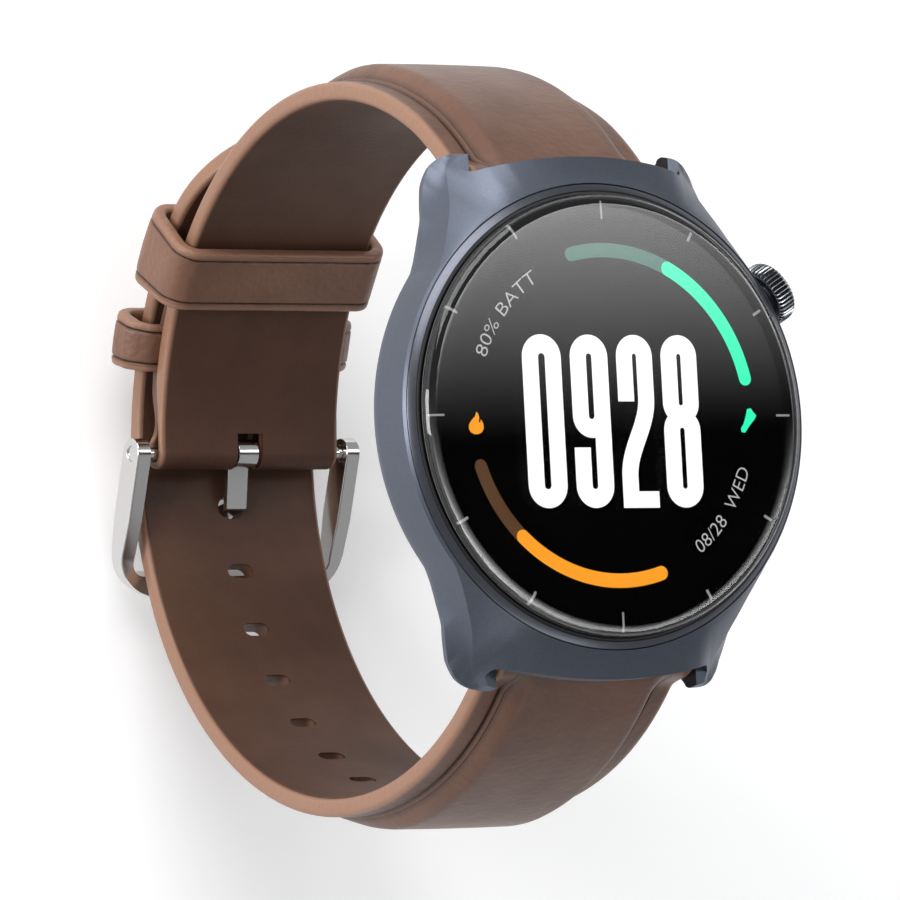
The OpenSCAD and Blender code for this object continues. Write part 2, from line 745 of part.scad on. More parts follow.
module holed_strap_upper() {
    color("#7d5747") difference() {
        union() {
            slab([for (a = tail_angles) let (x = tail_half(a))
                    raised_row(x, pad_half(x), pad_slope(x), tail_r(a) + lining_t, pad_at(180 - a), a)],
                [for (a = tail_angles) let (x = tail_half(a))
                    raised_row(x, pad_half(x) + pad_slope(x) / 2, pad_slope(x),
                        tail_r(a) + edge_t, pad_at(180 - a), a)]);
            mirror([0, 1, 0]) strap_eye();
        }
        mirror([0, 1, 0]) eye_bore();
        strap_holes();
    }
}

module holed_strap_padding() {
    color("#c9b79c") slab(
        [for (a = tail_pad_angles) flat_row(pad_half(tail_half(a)), tail_r(a) + lining_t, a)],
        [for (a = tail_pad_angles) flat_row(pad_half(tail_half(a)),
            tail_r(a) + lining_t + pad_at(180 - a), a)]);
}

module holed_strap_lining() {
    color("#4c382e") difference() {
        slab([for (a = tail_lining_angles) flat_row(tail_half(a), tail_r(a), a)],
            [for (a = tail_lining_angles) flat_row(tail_half(a), tail_r(a) + lining_t, a)]);
        strap_holes();
    }
}

// ---- keepers ----

// Band of leather bent to an arc: the child is drawn as [radius, place across]
module keeper_arc(mid, width, r) {
    spread = width / r * 180 / PI;
    translate([0, keeper_axis[0], keeper_axis[1]]) rotate([mid - spread / 2, 0, 0]) rotate([90, 0, 90])
        rotate_extrude(angle = spread) children();
}

module fixed_keeper() {
    under = strap_r(fixed_mid) + edge_t;
    inner_r = from_keeper_axis(under, fixed_mid) + tuck_gap;
    outer_r = from_keeper_axis(tail_in + edge_t, fixed_mid) + free_gap + tuck_gap;
    side = buckle_w / 2 + 1.4;
    color("#9a6f5a") keeper_arc(keeper_angle(under, fixed_mid), fixed_keeper_w, outer_r)
        difference() {
            round_rect(inner_r, outer_r + keeper_t, -side - keeper_t, side + keeper_t, 2.2);
            round_rect(inner_r + tuck_t - 2 * tuck_gap, outer_r, -side, side, 1.2);
        }
}

module free_keeper() {
    inner_r = from_keeper_axis(strap_r(keeper_mid), keeper_mid) - free_gap;
    outer_r = from_keeper_axis(tail_in + edge_t, keeper_mid - 6) + free_gap;
    side = buckle_w / 2 + free_gap + 0.15;
    color("#9a6f5a") keeper_arc(keeper_angle(strap_r(keeper_mid), keeper_mid), free_keeper_w,
        (inner_r + outer_r) / 2)
        difference() {
            round_rect(inner_r - keeper_t, outer_r + keeper_t,
                -side - keeper_t, side + keeper_t, 2.4);
            round_rect(inner_r, outer_r, -side, side, 1);
        }
}

// ---- buckle ----

// Local frame of the buckle: +Y runs from its bar to the front bar, +Z is outward
module buckle_place() {
    translate([0, pin_at[0], pin_at[1]]) rotate([frame_tilt, 0, 0]) children();
}

module buckle_frame() {
    out = frame_half + arm_t;
    reach = frame_len + front_t / 2;
    color("#c9cbce") buckle_place() difference() {
        intersection() {
            translate([0, 0, -5]) linear_extrude(10) difference() {
                round_rect(-out, out, -20, reach, 4.6);
                round_rect(-frame_half, frame_half, -30, reach - front_t, 1.4);
            }
            across(out + 1) {
                circle(d = arm_h);
                polygon([[0, -arm_h / 2], [reach - 8, -arm_h / 2],
                    [reach - 4, -front_t / 2], [reach + 1, -front_t / 2],
                    [reach + 1, front_t / 2], [reach - 4, front_t / 2],
                    [reach - 8, arm_h / 2], [0, arm_h / 2]]);
            }
        }
        pin(pin_r, -out - 1, out + 1);
    }
}

module buckle_bar() {
    color("#b8bbbe") translate([0, pin_at[0], pin_at[1]])
        pin(pin_r, -frame_half - arm_t + pin_press, frame_half + arm_t - pin_press);
}

module tang() {
    hole_in = loop_yz(tail_r(tang_hole_a) - 0.95, tang_hole_a);
    hole_out = loop_yz(tail_r(tang_hole_a) + edge_t + 0.8, tang_hole_a - 0.4);
    along = (front_at - pin_at) / frame_len;
    outward = [-along[1], along[0]];
    rest = front_at + outward * (front_t / 2 + tang_t / 2 + 0.04);
    loop = pin_r + run_gap + 0.65;
    start = pin_at + [0, -loop + tang_t / 2];
    color("#c9cbce") across(tang_w / 2) difference() {
        union() {
            translate(pin_at) circle(r = loop);
            band([start, hole_in, hole_out, rest, rest + along * 1.5], tang_t);
        }
        translate(pin_at) circle(r = pin_r + run_gap);
    }
}

case_frame();
bezel_ring();
glass_gasket();
cover_glass();
display_panel();
display_flex();
inner_chassis();
main_board();
shield_cans();
battery();
vibration_motor();
sensor_board();
sensor_leds();
light_barrier();
back_crystal();
back_cover();
back_gasket();
charging_rings();
back_screws();
crown();
crown_stem();
crown_tube();
crown_seal();
encoder_magnet();
switch_plunger();
crown_switch();
spring_bar_12();
spring_bar_6();
bar_tip_12_left();
bar_tip_12_right();
bar_tip_6_left();
bar_tip_6_right();
bar_spring_12();
bar_spring_6();
buckle_strap_upper();
buckle_strap_padding();
buckle_strap_lining();
holed_strap_upper();
holed_strap_padding();
holed_strap_lining();
fixed_keeper();
free_keeper();
buckle_frame();
buckle_bar();
tang();
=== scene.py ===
import json
import math
import bmesh
import bpy
import numpy as np
from mathutils import Matrix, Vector
from mathutils.kdtree import KDTree


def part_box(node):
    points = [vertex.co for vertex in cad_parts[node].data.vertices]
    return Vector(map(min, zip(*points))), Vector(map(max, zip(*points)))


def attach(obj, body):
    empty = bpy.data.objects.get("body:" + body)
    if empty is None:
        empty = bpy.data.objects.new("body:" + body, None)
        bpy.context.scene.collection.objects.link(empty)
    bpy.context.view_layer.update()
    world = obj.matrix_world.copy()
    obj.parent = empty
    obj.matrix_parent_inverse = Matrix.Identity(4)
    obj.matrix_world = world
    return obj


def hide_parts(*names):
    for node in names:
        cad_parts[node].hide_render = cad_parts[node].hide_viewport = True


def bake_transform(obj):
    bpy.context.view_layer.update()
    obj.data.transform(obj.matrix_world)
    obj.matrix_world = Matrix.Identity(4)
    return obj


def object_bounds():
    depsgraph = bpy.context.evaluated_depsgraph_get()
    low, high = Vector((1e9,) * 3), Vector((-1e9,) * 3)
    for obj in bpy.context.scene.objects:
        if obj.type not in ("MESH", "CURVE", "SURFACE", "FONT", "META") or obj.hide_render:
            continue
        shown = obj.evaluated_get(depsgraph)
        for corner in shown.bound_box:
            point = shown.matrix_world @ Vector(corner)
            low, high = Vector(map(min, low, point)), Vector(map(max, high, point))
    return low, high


# Round smartwatch on a buckled leather strap. Lengths in the shape functions are
# millimetres and angles are degrees; make_piece turns points into metres.

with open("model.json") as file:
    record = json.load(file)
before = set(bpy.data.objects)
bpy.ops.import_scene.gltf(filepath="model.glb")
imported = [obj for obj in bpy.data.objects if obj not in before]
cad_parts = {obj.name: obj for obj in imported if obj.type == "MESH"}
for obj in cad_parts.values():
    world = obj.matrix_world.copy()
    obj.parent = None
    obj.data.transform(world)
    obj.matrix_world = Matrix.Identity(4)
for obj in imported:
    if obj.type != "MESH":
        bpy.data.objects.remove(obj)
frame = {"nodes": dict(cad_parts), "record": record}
cad_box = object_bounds()
nodes = frame["nodes"]
MM = 0.001

# ---- sizes read from the frame ----


def box_mm(node):
    low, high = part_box(node)
    return np.array(low) / MM, np.array(high) / MM


def middle_mm(node):
    low, high = box_mm(node)
    return (low + high) / 2


BAR_Y, BAR_Z = middle_mm("spring_bar_12")[1:]
PIN = middle_mm("buckle_bar")[1:]
PIN_R = (box_mm("buckle_bar")[1][2] - box_mm("buckle_bar")[0][2]) / 2
GLASS_LOW, GLASS_TOP = box_mm("cover_glass")[0][2], box_mm("cover_glass")[1][2]
GLASS_R = box_mm("cover_glass")[1][0]
BEZEL_LOW, BEZEL_HIGH = box_mm("bezel_ring")
CASE_TOP = box_mm("case_frame")[1][2]

# ---- sizes of the strap, as the part's source has them ----
LOOP_R = 34.6
LOOP_FALL = 0.024
FLAT_A = 35.0
BAR_LOOP_R = 36.6
BAR_A = math.degrees(math.acos(BAR_Y / BAR_LOOP_R))
LOOP_Z = BAR_Z - BAR_LOOP_R * math.sin(math.radians(BAR_A))
EDGE_T = 1.8
FLAP_T = 1.0
TUCK_T = 0.75
SKIVE = 0.25
PAD_T = 1.7
EYE_R = 1.75
HALF_W = 10.95
BUCKLE_HALF = 10.3
BUCKLE_A = -84.6
FOLD_R = 1.55
FLAP_A = -58.0
TIP_START, TIP_LEN = 314.0, 20.2
TANG_HOLE_A, HOLE_STEP = 266.7, 10.6
PAD_FULL_A, PAD_END_A = 12, -20
CREASE_END_A, CREASE_FADE = -24, 12
# The shallow mark that the buckle's front bar presses in the outer face: place, spread and depth
PRESS_A, PRESS_SPREAD, PRESS_DEPTH = 256, 5, 0.12
# How far the holed strap lies in from the loop, and where it leaves for the buckle
TAIL_DROP, TAIL_OUT_A, TAIL_OUT_SPAN = 1.15, 182, 108


def clamp(t):
    return np.clip(t, 0.0, 1.0)


def ease(t):
    """Smooth step: half of one minus the cosine of t half turns, held at 0 and 1."""
    return (1 - np.cos(np.pi * clamp(t))) / 2


def strap_r(a):
    """Inner radius of the buckle strap, which falls evenly below 35 degrees."""
    return LOOP_R - LOOP_FALL * np.maximum(0, FLAT_A - a)


TAIL_IN = strap_r(FLAP_A) + EDGE_T + TUCK_T + FLAP_T + 0.53


def tail_r(a):
    """Inner radius of the holed strap: in a little from the lug, then out over the buckle."""
    first = LOOP_R - TAIL_DROP * ease((a - 180 + BAR_A) / (TAIL_OUT_A - 180 + BAR_A))
    out = ease((a - TAIL_OUT_A) / TAIL_OUT_SPAN)
    last = LOOP_R - TAIL_DROP + (TAIL_IN - LOOP_R + TAIL_DROP) * out
    return np.where(a < TAIL_OUT_A, first, last)


def width_at(t):
    return HALF_W + (BUCKLE_HALF - HALF_W) * ease(t)


def buckle_half(a):
    return width_at((BAR_A - a) / 90)


def tail_half(a):
    """Half width of the holed strap: narrows from the lug, then an elliptic tip."""
    tip = BUCKLE_HALF * np.sqrt(np.maximum(0, 1 - ((a - TIP_START) / TIP_LEN) ** 2))
    return np.where(a < TIP_START, width_at((a - 180 + BAR_A) / 90), tip)


def pad_at(a):
    """Height of the padding: full from the lug to 12 degrees, nothing at -20 degrees."""
    return PAD_T * ease((a - PAD_END_A) / (PAD_FULL_A - PAD_END_A))


def crease_along(a):
    """How much of the creases shows: all from the lug down, fading to none at -24 degrees."""
    return ease((a - CREASE_END_A) / CREASE_FADE)


def tuck_at(a):
    return TUCK_T * ease((a + 80) / 6) * ease((-54.5 - a) / 5)


def loop_yz(r, a):
    """Points at radius r and angle a about the strap loop's centre."""
    rad = np.radians(a)
    return np.stack([r * np.cos(rad), LOOP_Z + r * np.sin(rad)], -1)


# ---- meshes ----


def grid_faces(rows, cols, wrap_rows=False, wrap_cols=False):
    """Quads of a grid of points; a wrapped grid joins its last row or column to its first."""
    i = np.arange(rows if wrap_rows else rows - 1)[:, None]
    j = np.arange(cols if wrap_cols else cols - 1)[None, :]
    i2, j2 = (i + 1) % rows, (j + 1) % cols
    return np.stack([i * cols + j, i * cols + j2, i2 * cols + j2, i2 * cols + j], -1).reshape(-1, 4)


def make_piece(name, points, faces, body, replaces=(), smooth=40, rides=True):
    """A mesh object from points in millimetres, welded, turned outwards and shaded."""
    mesh = bpy.data.meshes.new(name)
    mesh.from_pydata((np.asarray(points).reshape(-1, 3) * MM).tolist(), [], faces)
    work = bmesh.new()
    work.from_mesh(mesh)
    bmesh.ops.remove_doubles(work, verts=work.verts, dist=2e-6)
    bmesh.ops.dissolve_degenerate(work, dist=1e-7, edges=work.edges)
    bmesh.ops.recalc_face_normals(work, faces=work.faces)
    work.to_mesh(mesh)
    work.free()
    mesh.shade_smooth()
    mesh.set_sharp_from_angle(angle=math.radians(smooth))
    piece = bpy.data.objects.new(name, mesh)
    bpy.context.scene.collection.objects.link(piece)
    if rides:
        settle(piece, body, replaces)
    return piece


def settle(piece, body, replaces=()):
    """Name the piece's body and the CAD nodes that it stands for."""
    if body:
        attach(piece, body)
    if replaces:
        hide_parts(*replaces)
    return piece


def swept(name, rings, body, replaces=(), smooth=40, rides=True):
    """Closed skin through rings of points; the first and last ring are capped."""
    rows, cols = rings.shape[:2]
    faces = grid_faces(rows, cols, wrap_cols=True).tolist()
    faces.append(list(range(cols)))
    faces.append(list(range((rows - 1) * cols, rows * cols)))
    return make_piece(name, rings, faces, body, replaces, smooth, rides)


def looped(name, rings, body, replaces=(), smooth=40):
    """Closed skin through rings of points, with the last ring joined to the first."""
    faces = grid_faces(*rings.shape[:2], wrap_rows=True, wrap_cols=True).tolist()
    return make_piece(name, rings, faces, body, replaces, smooth)


def lathed(name, profile, body, replaces=(), steps=256, smooth=35):
    """A profile of radius and height, turned round the dial's axis."""
    profile = np.array(profile, float)
    turn = np.linspace(0, 2 * np.pi, steps, endpoint=False)[:, None]
    rings = np.stack([profile[:, 0] * np.cos(turn), profile[:, 0] * np.sin(turn),
                      profile[:, 1] + 0 * turn], -1)
    return looped(name, rings, body, replaces, smooth)


def arc(centre, radius, start, end, steps):
    """Points of a circle's arc in a plane, from one angle to another."""
    a = np.radians(np.linspace(start, end, steps))
    return np.stack([centre[0] + radius * np.cos(a), centre[1] + radius * np.sin(a)], -1)


def baked(piece):
    """Apply the piece's modifiers to its mesh."""
    view = bpy.context.evaluated_depsgraph_get()
    mesh = bpy.data.meshes.new_from_object(piece.evaluated_get(view))
    piece.modifiers.clear()
    piece.data = mesh
    return piece


def mark(piece, name, values):
    """Store one number for each point of the piece, for its material to read."""
    layer = piece.data.attributes.new(name, "FLOAT", "POINT")
    layer.data.foreach_set("value", np.asarray(values, np.float32))


def points_mm(piece):
    flat = np.empty(len(piece.data.vertices) * 3)
    piece.data.vertices.foreach_get("co", flat)
    return flat.reshape(-1, 3) / MM


# ---- strap ----

# Distances in from the strap's edge where its outer face is sampled, closest at the creases
FROM_EDGE = np.array([0.7, 1.1, 1.5, 1.8, 2.0, 2.12, 2.24, 2.35, 2.46, 2.58, 2.7, 2.82, 2.94, 3.08,
                      3.25, 3.45, 3.7, 4.0, 4.4, 4.9, 5.6, 6.6, 8.0])


def crease_depth(d):
    """Two pressed lines beside the edge band: narrow dips at 2.35 and 2.85 mm from the edge."""
    return 0.34 * np.exp(-((d - 2.35) / 0.15) ** 2) + 0.2 * np.exp(-((d - 2.85) / 0.11) ** 2)


def strap_section(w, t, pad, crease):
    """Closed outline across the strap, for arrays of half width, thickness, padding and crease.

    Flat inner face, edges rounded with a small radius, and an outer face that has the
    creases cut in and rises to the padding over 2 mm, with a slight crown in the middle."""
    w, t, pad, crease = [np.asarray(v, float)[:, None] + np.zeros((len(w), 1))
                         for v in (w, t, pad, crease)]
    small = np.minimum(1, w / 9)
    c = np.minimum(0.5 * small, 0.45 * t)
    q = np.radians(np.linspace(0, 90, 6))[None, :]
    inner = np.linspace(-1, 1, 15)[None, :]
    low_x, low_h = inner * (w - c), 0 * inner * w
    r1_x, r1_h = w - c + c * np.sin(q), c - c * np.cos(q)
    r2_x, r2_h = w - c + c * np.cos(q), t - c + c * np.sin(q)
    d = FROM_EDGE[None, :]
    top_x = w - d * small
    rise = ease((d - 2.25) / 2.0) ** 0.8
    crown = 0.22 * (1 - (top_x / w) ** 2)
    top_h = t - crease * crease_depth(d) + pad * (rise + crown * 0.5)
    mid_x, mid_h = 0 * w, t + pad * (1 + 0.11)
    xs = [low_x[:, 1:-1], r1_x, r2_x, top_x, mid_x, -top_x[:, ::-1], -r2_x[:, ::-1], -r1_x[:, ::-1]]
    hs = [low_h[:, 1:-1], r1_h, r2_h, top_h, mid_h, top_h[:, ::-1], r2_h[:, ::-1], r1_h[:, ::-1]]
    return np.concatenate(xs, 1), np.concatenate(hs, 1)


def along_path(at, normal, xs, hs):
    """Rings of points: each section stands on its path point, with its height along the normal."""
    yz = at[:, None, :] + normal[:, None, :] * hs[..., None]
    return np.concatenate([xs[..., None], yz], -1)


def radial(a):
    rad = np.radians(a)
    return np.stack([np.cos(rad), np.sin(rad)], -1)


def eye_path(a, r_in):
    """Lift and thickness of the strap where it closes round the spring bar.

    The thickness grows from the edge's to the bar loop's over 6 degrees, and past the
    bar both faces close on a half circle about it."""
    past = np.radians(np.maximum(0, a - BAR_A)) * BAR_LOOP_R
    near = ease((a - BAR_A + 6) / 6)
    half = np.sqrt(np.maximum(0.02, EYE_R ** 2 - past ** 2))
    low = near * (BAR_LOOP_R - r_in - half)
    thick = EDGE_T + near * (2 * half - EDGE_T)
    return low, thick, 1 - near


def buckle_strap_path():
    """The strap from the bar at 12 to the buckle, round its bar, and back as the flap."""
    reach = np.degrees(EYE_R / BAR_LOOP_R) * np.sin(np.radians(np.linspace(84, 0, 9)))
    a = np.concatenate([BAR_A + reach[:-1], np.linspace(BAR_A, BUCKLE_A, 190)])
    low, thick, rest = eye_path(a, strap_r(a))
    at = loop_yz(strap_r(a) + low, a)
    thin = ease((-70 - a) / 12)
    thick = thick - thin * (EDGE_T - FOLD_R + PIN_R + 0.05)
    pad = pad_at(a) * rest
    crease = crease_along(a) * rest
    half = buckle_half(a)
    normal = radial(a)
    turn = np.linspace(BUCKLE_A + 180, BUCKLE_A + 360, 26)[1:]
    at = np.concatenate([at, PIN + FOLD_R * radial(turn)])
    normal = np.concatenate([normal, -radial(turn)])
    back = np.linspace(BUCKLE_A, FLAP_A, 60)[1:]
    settled = ease((back - BUCKLE_A) / 6)
    thick_back = FLAP_T - 0.5 * ease((back + 66) / 8)
    lift = EDGE_T - SKIVE + SKIVE * ease((back + 78) / 8) + tuck_at(back) + thick_back
    out = strap_r(back) + 2 * FOLD_R * (1 - settled) + lift * settled
    at = np.concatenate([at, loop_yz(out, back)])
    normal = np.concatenate([normal, -radial(back)])
    fold_t = FOLD_R - PIN_R - 0.05
    thick = np.concatenate([thick, fold_t + 0 * turn, fold_t + (thick_back - fold_t) * settled])
    zero = np.zeros(len(turn) + len(back))
    half = np.concatenate([half, BUCKLE_HALF + 0 * turn, BUCKLE_HALF - 0.6 * ease((back - BUCKLE_A) / 4)])
    return at, normal, half, thick, np.concatenate([pad, zero]), np.concatenate([crease, zero]), len(a)


def lining_rings(at, normal, half):
    """A thin sheet on the strap's inner face: 0.07 mm proud, with a rounded border."""
    w = np.maximum(half - 0.42 * np.minimum(1, half / 9), 0.2)[:, None]
    u = np.array([-1, -0.75, -0.5, -0.25, 0, 0.25, 0.5, 0.75, 1.0])[None, :]
    x = np.concatenate([u * (w - 0.1), w + 0 * w, u[:, ::-1] * (w - 0.1), -w], 1)
    h = np.concatenate([-0.07 + 0 * u * w, 0.02 + 0 * w, 0.15 + 0 * u * w, 0.02 + 0 * w], 1)
    return along_path(at, normal, x, h)


def stadium_cutter(a, r_from, r_to, width, length):
    """Prism with round ends through the strap at angle a, as points and faces."""
    side = arc((width / 2 - length / 2, 0), length / 2, -90, 90, 14)
    outline = np.concatenate([side, -side])
    rings = []
    for r in (r_from, r_to):
        yz = loop_yz(r, np.array(a)) + np.outer(outline[:, 1], radial(np.array(a + 90)))
        rings.append(np.column_stack([outline[:, 0], yz]))
    count = len(outline)
    faces = grid_faces(2, count, wrap_cols=True).tolist()
    return np.concatenate(rings), faces + [list(range(count)), list(range(count, 2 * count))]


def cut(piece, cutters):
    """Take closed shapes away from a piece."""
    points, faces, first = [], [], 0
    for p, f in cutters:
        points.append(p)
        faces += [[i + first for i in face] for face in f]
        first += len(p)
    tool = make_piece("cutter", np.concatenate(points), faces, None, rides=False)
    step = piece.modifiers.new("cut", "BOOLEAN")
    step.operation = "DIFFERENCE"
    step.object = tool
    step.solver = "EXACT"
    baked(piece)
    bpy.data.objects.remove(tool)
    piece.data.shade_smooth()
    piece.data.set_sharp_from_angle(angle=math.radians(40))
    return piece


def strap_marks(piece, r_in, half, outer_r):
    """Masks of the painted edge and of the creases, from each point's place on the strap; the crease mask
    darkens the leather with painted shade.
    """
    p = points_mm(piece)
    a = np.degrees(np.arctan2(p[:, 2] - LOOP_Z, p[:, 1]))
    a = np.where((a < -90) | ((half is tail_half) & (a < -20)), a + 360, a)
    r = np.hypot(p[:, 1], p[:, 2] - LOOP_Z)
    w = half(a)
    d = w - np.abs(p[:, 0])
    mark(piece, "rim", 1 - ease((d - 0.2) / 0.5))
    outside = ease((r - r_in(a) - outer_r) / 0.3)
    lug_side = np.where(a > 90, 180 - a, a)
    # crease mask: where the leather is darkened with painted shade along the pressed lines
    mark(piece, "crease", np.minimum(1, crease_depth(d) * 3.2) * outside * crease_along(lug_side))


def box_cutter(low, high, turn, at):
    """Box turned about X by an angle and moved to a place, as points and faces."""
    corners = np.array([[x, y, z] for x in (low[0], high[0]) for y in (low[1], high[1])
                        for z in (low[2], high[2])], float)
    c, s = math.cos(math.radians(turn)), math.sin(math.radians(turn))
    y = corners[:, 1] * c - corners[:, 2] * s + at[0]
    z = corners[:, 1] * s + corners[:, 2] * c + at[1]
    faces = [[0, 1, 3, 2], [4, 6, 7, 5], [0, 4, 5, 1], [2, 3, 7, 6], [0, 2, 6, 4], [1, 5, 7, 3]]
    return np.column_stack([corners[:, 0], y, z]), faces


at, normal, half, thick, pad, crease, inner_count = buckle_strap_path()
xs, hs = strap_section(half, thick, pad, crease)
buckle_strap = swept("buckle_strap_leather", along_path(at, normal, xs, hs), None, rides=False)
fold_slot = box_cutter((-1.45, -3, -3), (1.45, 2, 4), BUCKLE_A + 90, PIN)
cut(buckle_strap, [fold_slot])
strap_marks(buckle_strap, strap_r, buckle_half, 1.4)
settle(buckle_strap, "strap_12", ("buckle_strap_upper", "buckle_strap_padding"))

skin = slice(14, inner_count + 12)
buckle_lining = swept("buckle_strap_inner_face", lining_rings(at[skin], normal[skin], half[skin]),
                      None, rides=False)
cut(buckle_lining, [fold_slot])
settle(buckle_lining, "strap_12", ("buckle_strap_lining",))

reach = np.degrees(EYE_R / BAR_LOOP_R) * np.sin(np.radians(np.linspace(84, 0, 9)))
tip = TIP_START + (TIP_LEN - 0.03) * np.sin(np.radians(np.linspace(0, 90, 22)))[1:]
tail_a = np.concatenate([180 - BAR_A - reach[:-1], np.linspace(180 - BAR_A, TIP_START, 260), tip])
low, thick, rest = eye_path(180 - tail_a, tail_r(tail_a))
# a shallow mark where the buckle's front bar presses
thick = thick - PRESS_DEPTH * np.exp(-((tail_a - PRESS_A) / PRESS_SPREAD) ** 2)
tail_at, tail_normal = loop_yz(tail_r(tail_a) + low, tail_a), radial(tail_a)
tail_w = tail_half(tail_a)
xs, hs = strap_section(tail_w, thick, pad_at(180 - tail_a) * rest,
                       crease_along(180 - tail_a) * rest)
hole_cutters = [stadium_cutter(TANG_HOLE_A - i * HOLE_STEP, 30, 42, 2.9, 2.2 if i == 0 else 1.5)
                for i in range(-1, 7)]
holed_strap = swept("holed_strap_leather", along_path(tail_at, tail_normal, xs, hs), None,
                    rides=False)
cut(holed_strap, hole_cutters)
strap_marks(holed_strap, tail_r, tail_half, 1.4)
settle(holed_strap, None, ("holed_strap_upper", "holed_strap_padding"))

skin = slice(14, -2)
holed_lining = swept("holed_strap_inner_face",
                     lining_rings(tail_at[skin], tail_normal[skin], tail_w[skin]),
                     None, rides=False)
cut(holed_lining, hole_cutters)
settle(holed_lining, None, ("holed_strap_lining",))
for piece in (holed_strap, holed_lining):
    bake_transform(piece)

# ---- keepers ----


def keeper_loop(x_half, h_low, h_high, radius, per_side=26):
    """Inner line of a keeper: a rectangle of place across and height, with round corners.

    Gives the points in order round the loop and the outward normal at each."""
    spots, normals = [], []
    corners = [(x_half, h_high, 0), (-x_half, h_high, 90), (-x_half, h_low, 180), (x_half, h_low, 270)]
    for x, h, start in corners:
        middle = (h_low + h_high) / 2
        centre = np.array([x - math.copysign(radius, x), h - math.copysign(radius, h - middle)])
        q = np.radians(np.linspace(start, start + 90, 12))
        spots.append(centre + radius * np.stack([np.cos(q), np.sin(q)], -1))
        normals.append(np.stack([np.cos(q), np.sin(q)], -1))
    line, facing = [], []
    for k in range(4):
        here, after = spots[k][-1], spots[(k + 1) % 4][0]
        t = np.linspace(0, 1, per_side)[1:-1, None]
        line += [spots[k], here + (after - here) * t]
        facing += [normals[k], np.repeat(normals[k][-1:], per_side - 2, 0)]
    return np.concatenate(line), np.concatenate(facing)


def keeper(name, node, body, axis, mid, width, x_half, h_low, h_high, thick, thin):
    """A leather band round the strap: its section has rounded rims and a crease near each."""
    line, facing = keeper_loop(x_half, h_low, h_high, 1.1)
    share = ease((line[:, 1] - h_low - 0.2) / (1.2 if thin < thick else 0.1))
    t = (thin + (thick - thin) * share)[:, None]
    w, c = width / 2, 0.42
    q = np.radians(np.linspace(0, 90, 6))
    wide, narrow = [0.8, 0.92, 1.0, 1.08, 1.2, 1.5, 2.0], [0.7, 0.8, 0.88, 0.96, 1.08, 1.3, 1.7]
    u_out = np.array(wide if width > 6 else narrow)
    line_at = u_out[2]
    u_top = np.concatenate([w - u_out, [0], -(w - u_out)[::-1]])
    edge = w - np.abs(u_top)
    dip = 0.2 * np.exp(-((edge - line_at) / 0.1) ** 2)
    crown = 0.1 * (1 - (u_top / w) ** 2)
    u_low = np.linspace(-(w - c), w - c, 7)[1:-1]
    u = np.concatenate([u_low, w - c + c * np.sin(q), w - c + c * np.cos(q), u_top,
                        -(w - c + c * np.cos(q))[::-1], -(w - c + c * np.sin(q))[::-1]])[None, :]
    cc = np.minimum(c, 0.45 * t)
    one = np.ones((len(line), 1))
    foot, shoulder = cc * (1 - np.cos(q)), t - cc * (1 - np.sin(q))
    lift = np.concatenate([0 * u_low * one, foot, shoulder, t + (crown - dip) * one,
                           shoulder[:, ::-1], foot[:, ::-1]], 1)
    x = line[:, :1] + facing[:, :1] * lift
    h = line[:, 1:] + facing[:, 1:] * lift
    angle = np.radians(mid + np.degrees(u / ((h_low + h_high) / 2)))
    rings = np.stack([x, axis[0] + h * np.cos(angle), axis[1] + h * np.sin(angle)], -1)
    piece = looped(name, rings, None)
    none, full = np.zeros(2 * len(q)), np.ones(2 * len(q))
    # crease mask of the dips: the keeper leather is darkened there with painted shade
    mask = np.broadcast_to(np.concatenate([0 * u_low, none, dip / 0.2, none]), rings.shape[:2])
    rim = np.broadcast_to(np.concatenate([0 * u_low, full, 1 - ease((edge - 0.4) / 0.4), full]),
                          rings.shape[:2])
    near = nearest_values(piece, rings, np.stack([mask, rim], -1))
    mark(piece, "crease", near[:, 0])
    mark(piece, "rim", near[:, 1])
    return settle(piece, body, (node,))


def nearest_values(piece, rings, values):
    """Values of a grid of points carried to the piece's own points, which are the same places."""
    flat = rings.reshape(-1, 3)
    tree = KDTree(len(flat))
    for i, p in enumerate(flat):
        tree.insert(p, i)
    tree.balance()
    picked = [tree.find(p)[1] for p in points_mm(piece)]
    return values.reshape(len(flat), -1)[picked]


shift = math.degrees(LOOP_FALL)
keeper_axis = np.array([shift * math.sin(math.radians(45)), LOOP_Z + shift * math.cos(math.radians(45))])


def from_keeper_axis(r, a):
    """Distance and angle about the keepers' axis of a point of the strap loop."""
    p = loop_yz(r, np.array(a)) - keeper_axis
    return float(np.hypot(*p)), math.degrees(math.atan2(p[1], p[0]))


FIXED_A, FREE_A, FREE_TOP_A = -66.7, -51.5, -57.5
fixed_low, fixed_mid = from_keeper_axis(strap_r(FIXED_A) + EDGE_T, FIXED_A)
fixed_high = from_keeper_axis(TAIL_IN + EDGE_T, FIXED_A)[0] + 0.35
keeper("fixed_keeper_leather", "fixed_keeper", "strap_12", keeper_axis, fixed_mid, 5.2,
       BUCKLE_HALF + 1.4, fixed_low + TUCK_T - 0.05, fixed_high, 1.3, 0.6)
free_low, free_mid = from_keeper_axis(strap_r(FREE_A), FREE_A)
free_high = from_keeper_axis(TAIL_IN + EDGE_T, FREE_TOP_A)[0] + 0.3
keeper("free_keeper_leather", "free_keeper", "keeper", keeper_axis, free_mid, 7.4,
       BUCKLE_HALF + 0.45, free_low - 0.3, free_high, 1.3, 1.3)

# ---- metal from the frame, with its edges softened ----


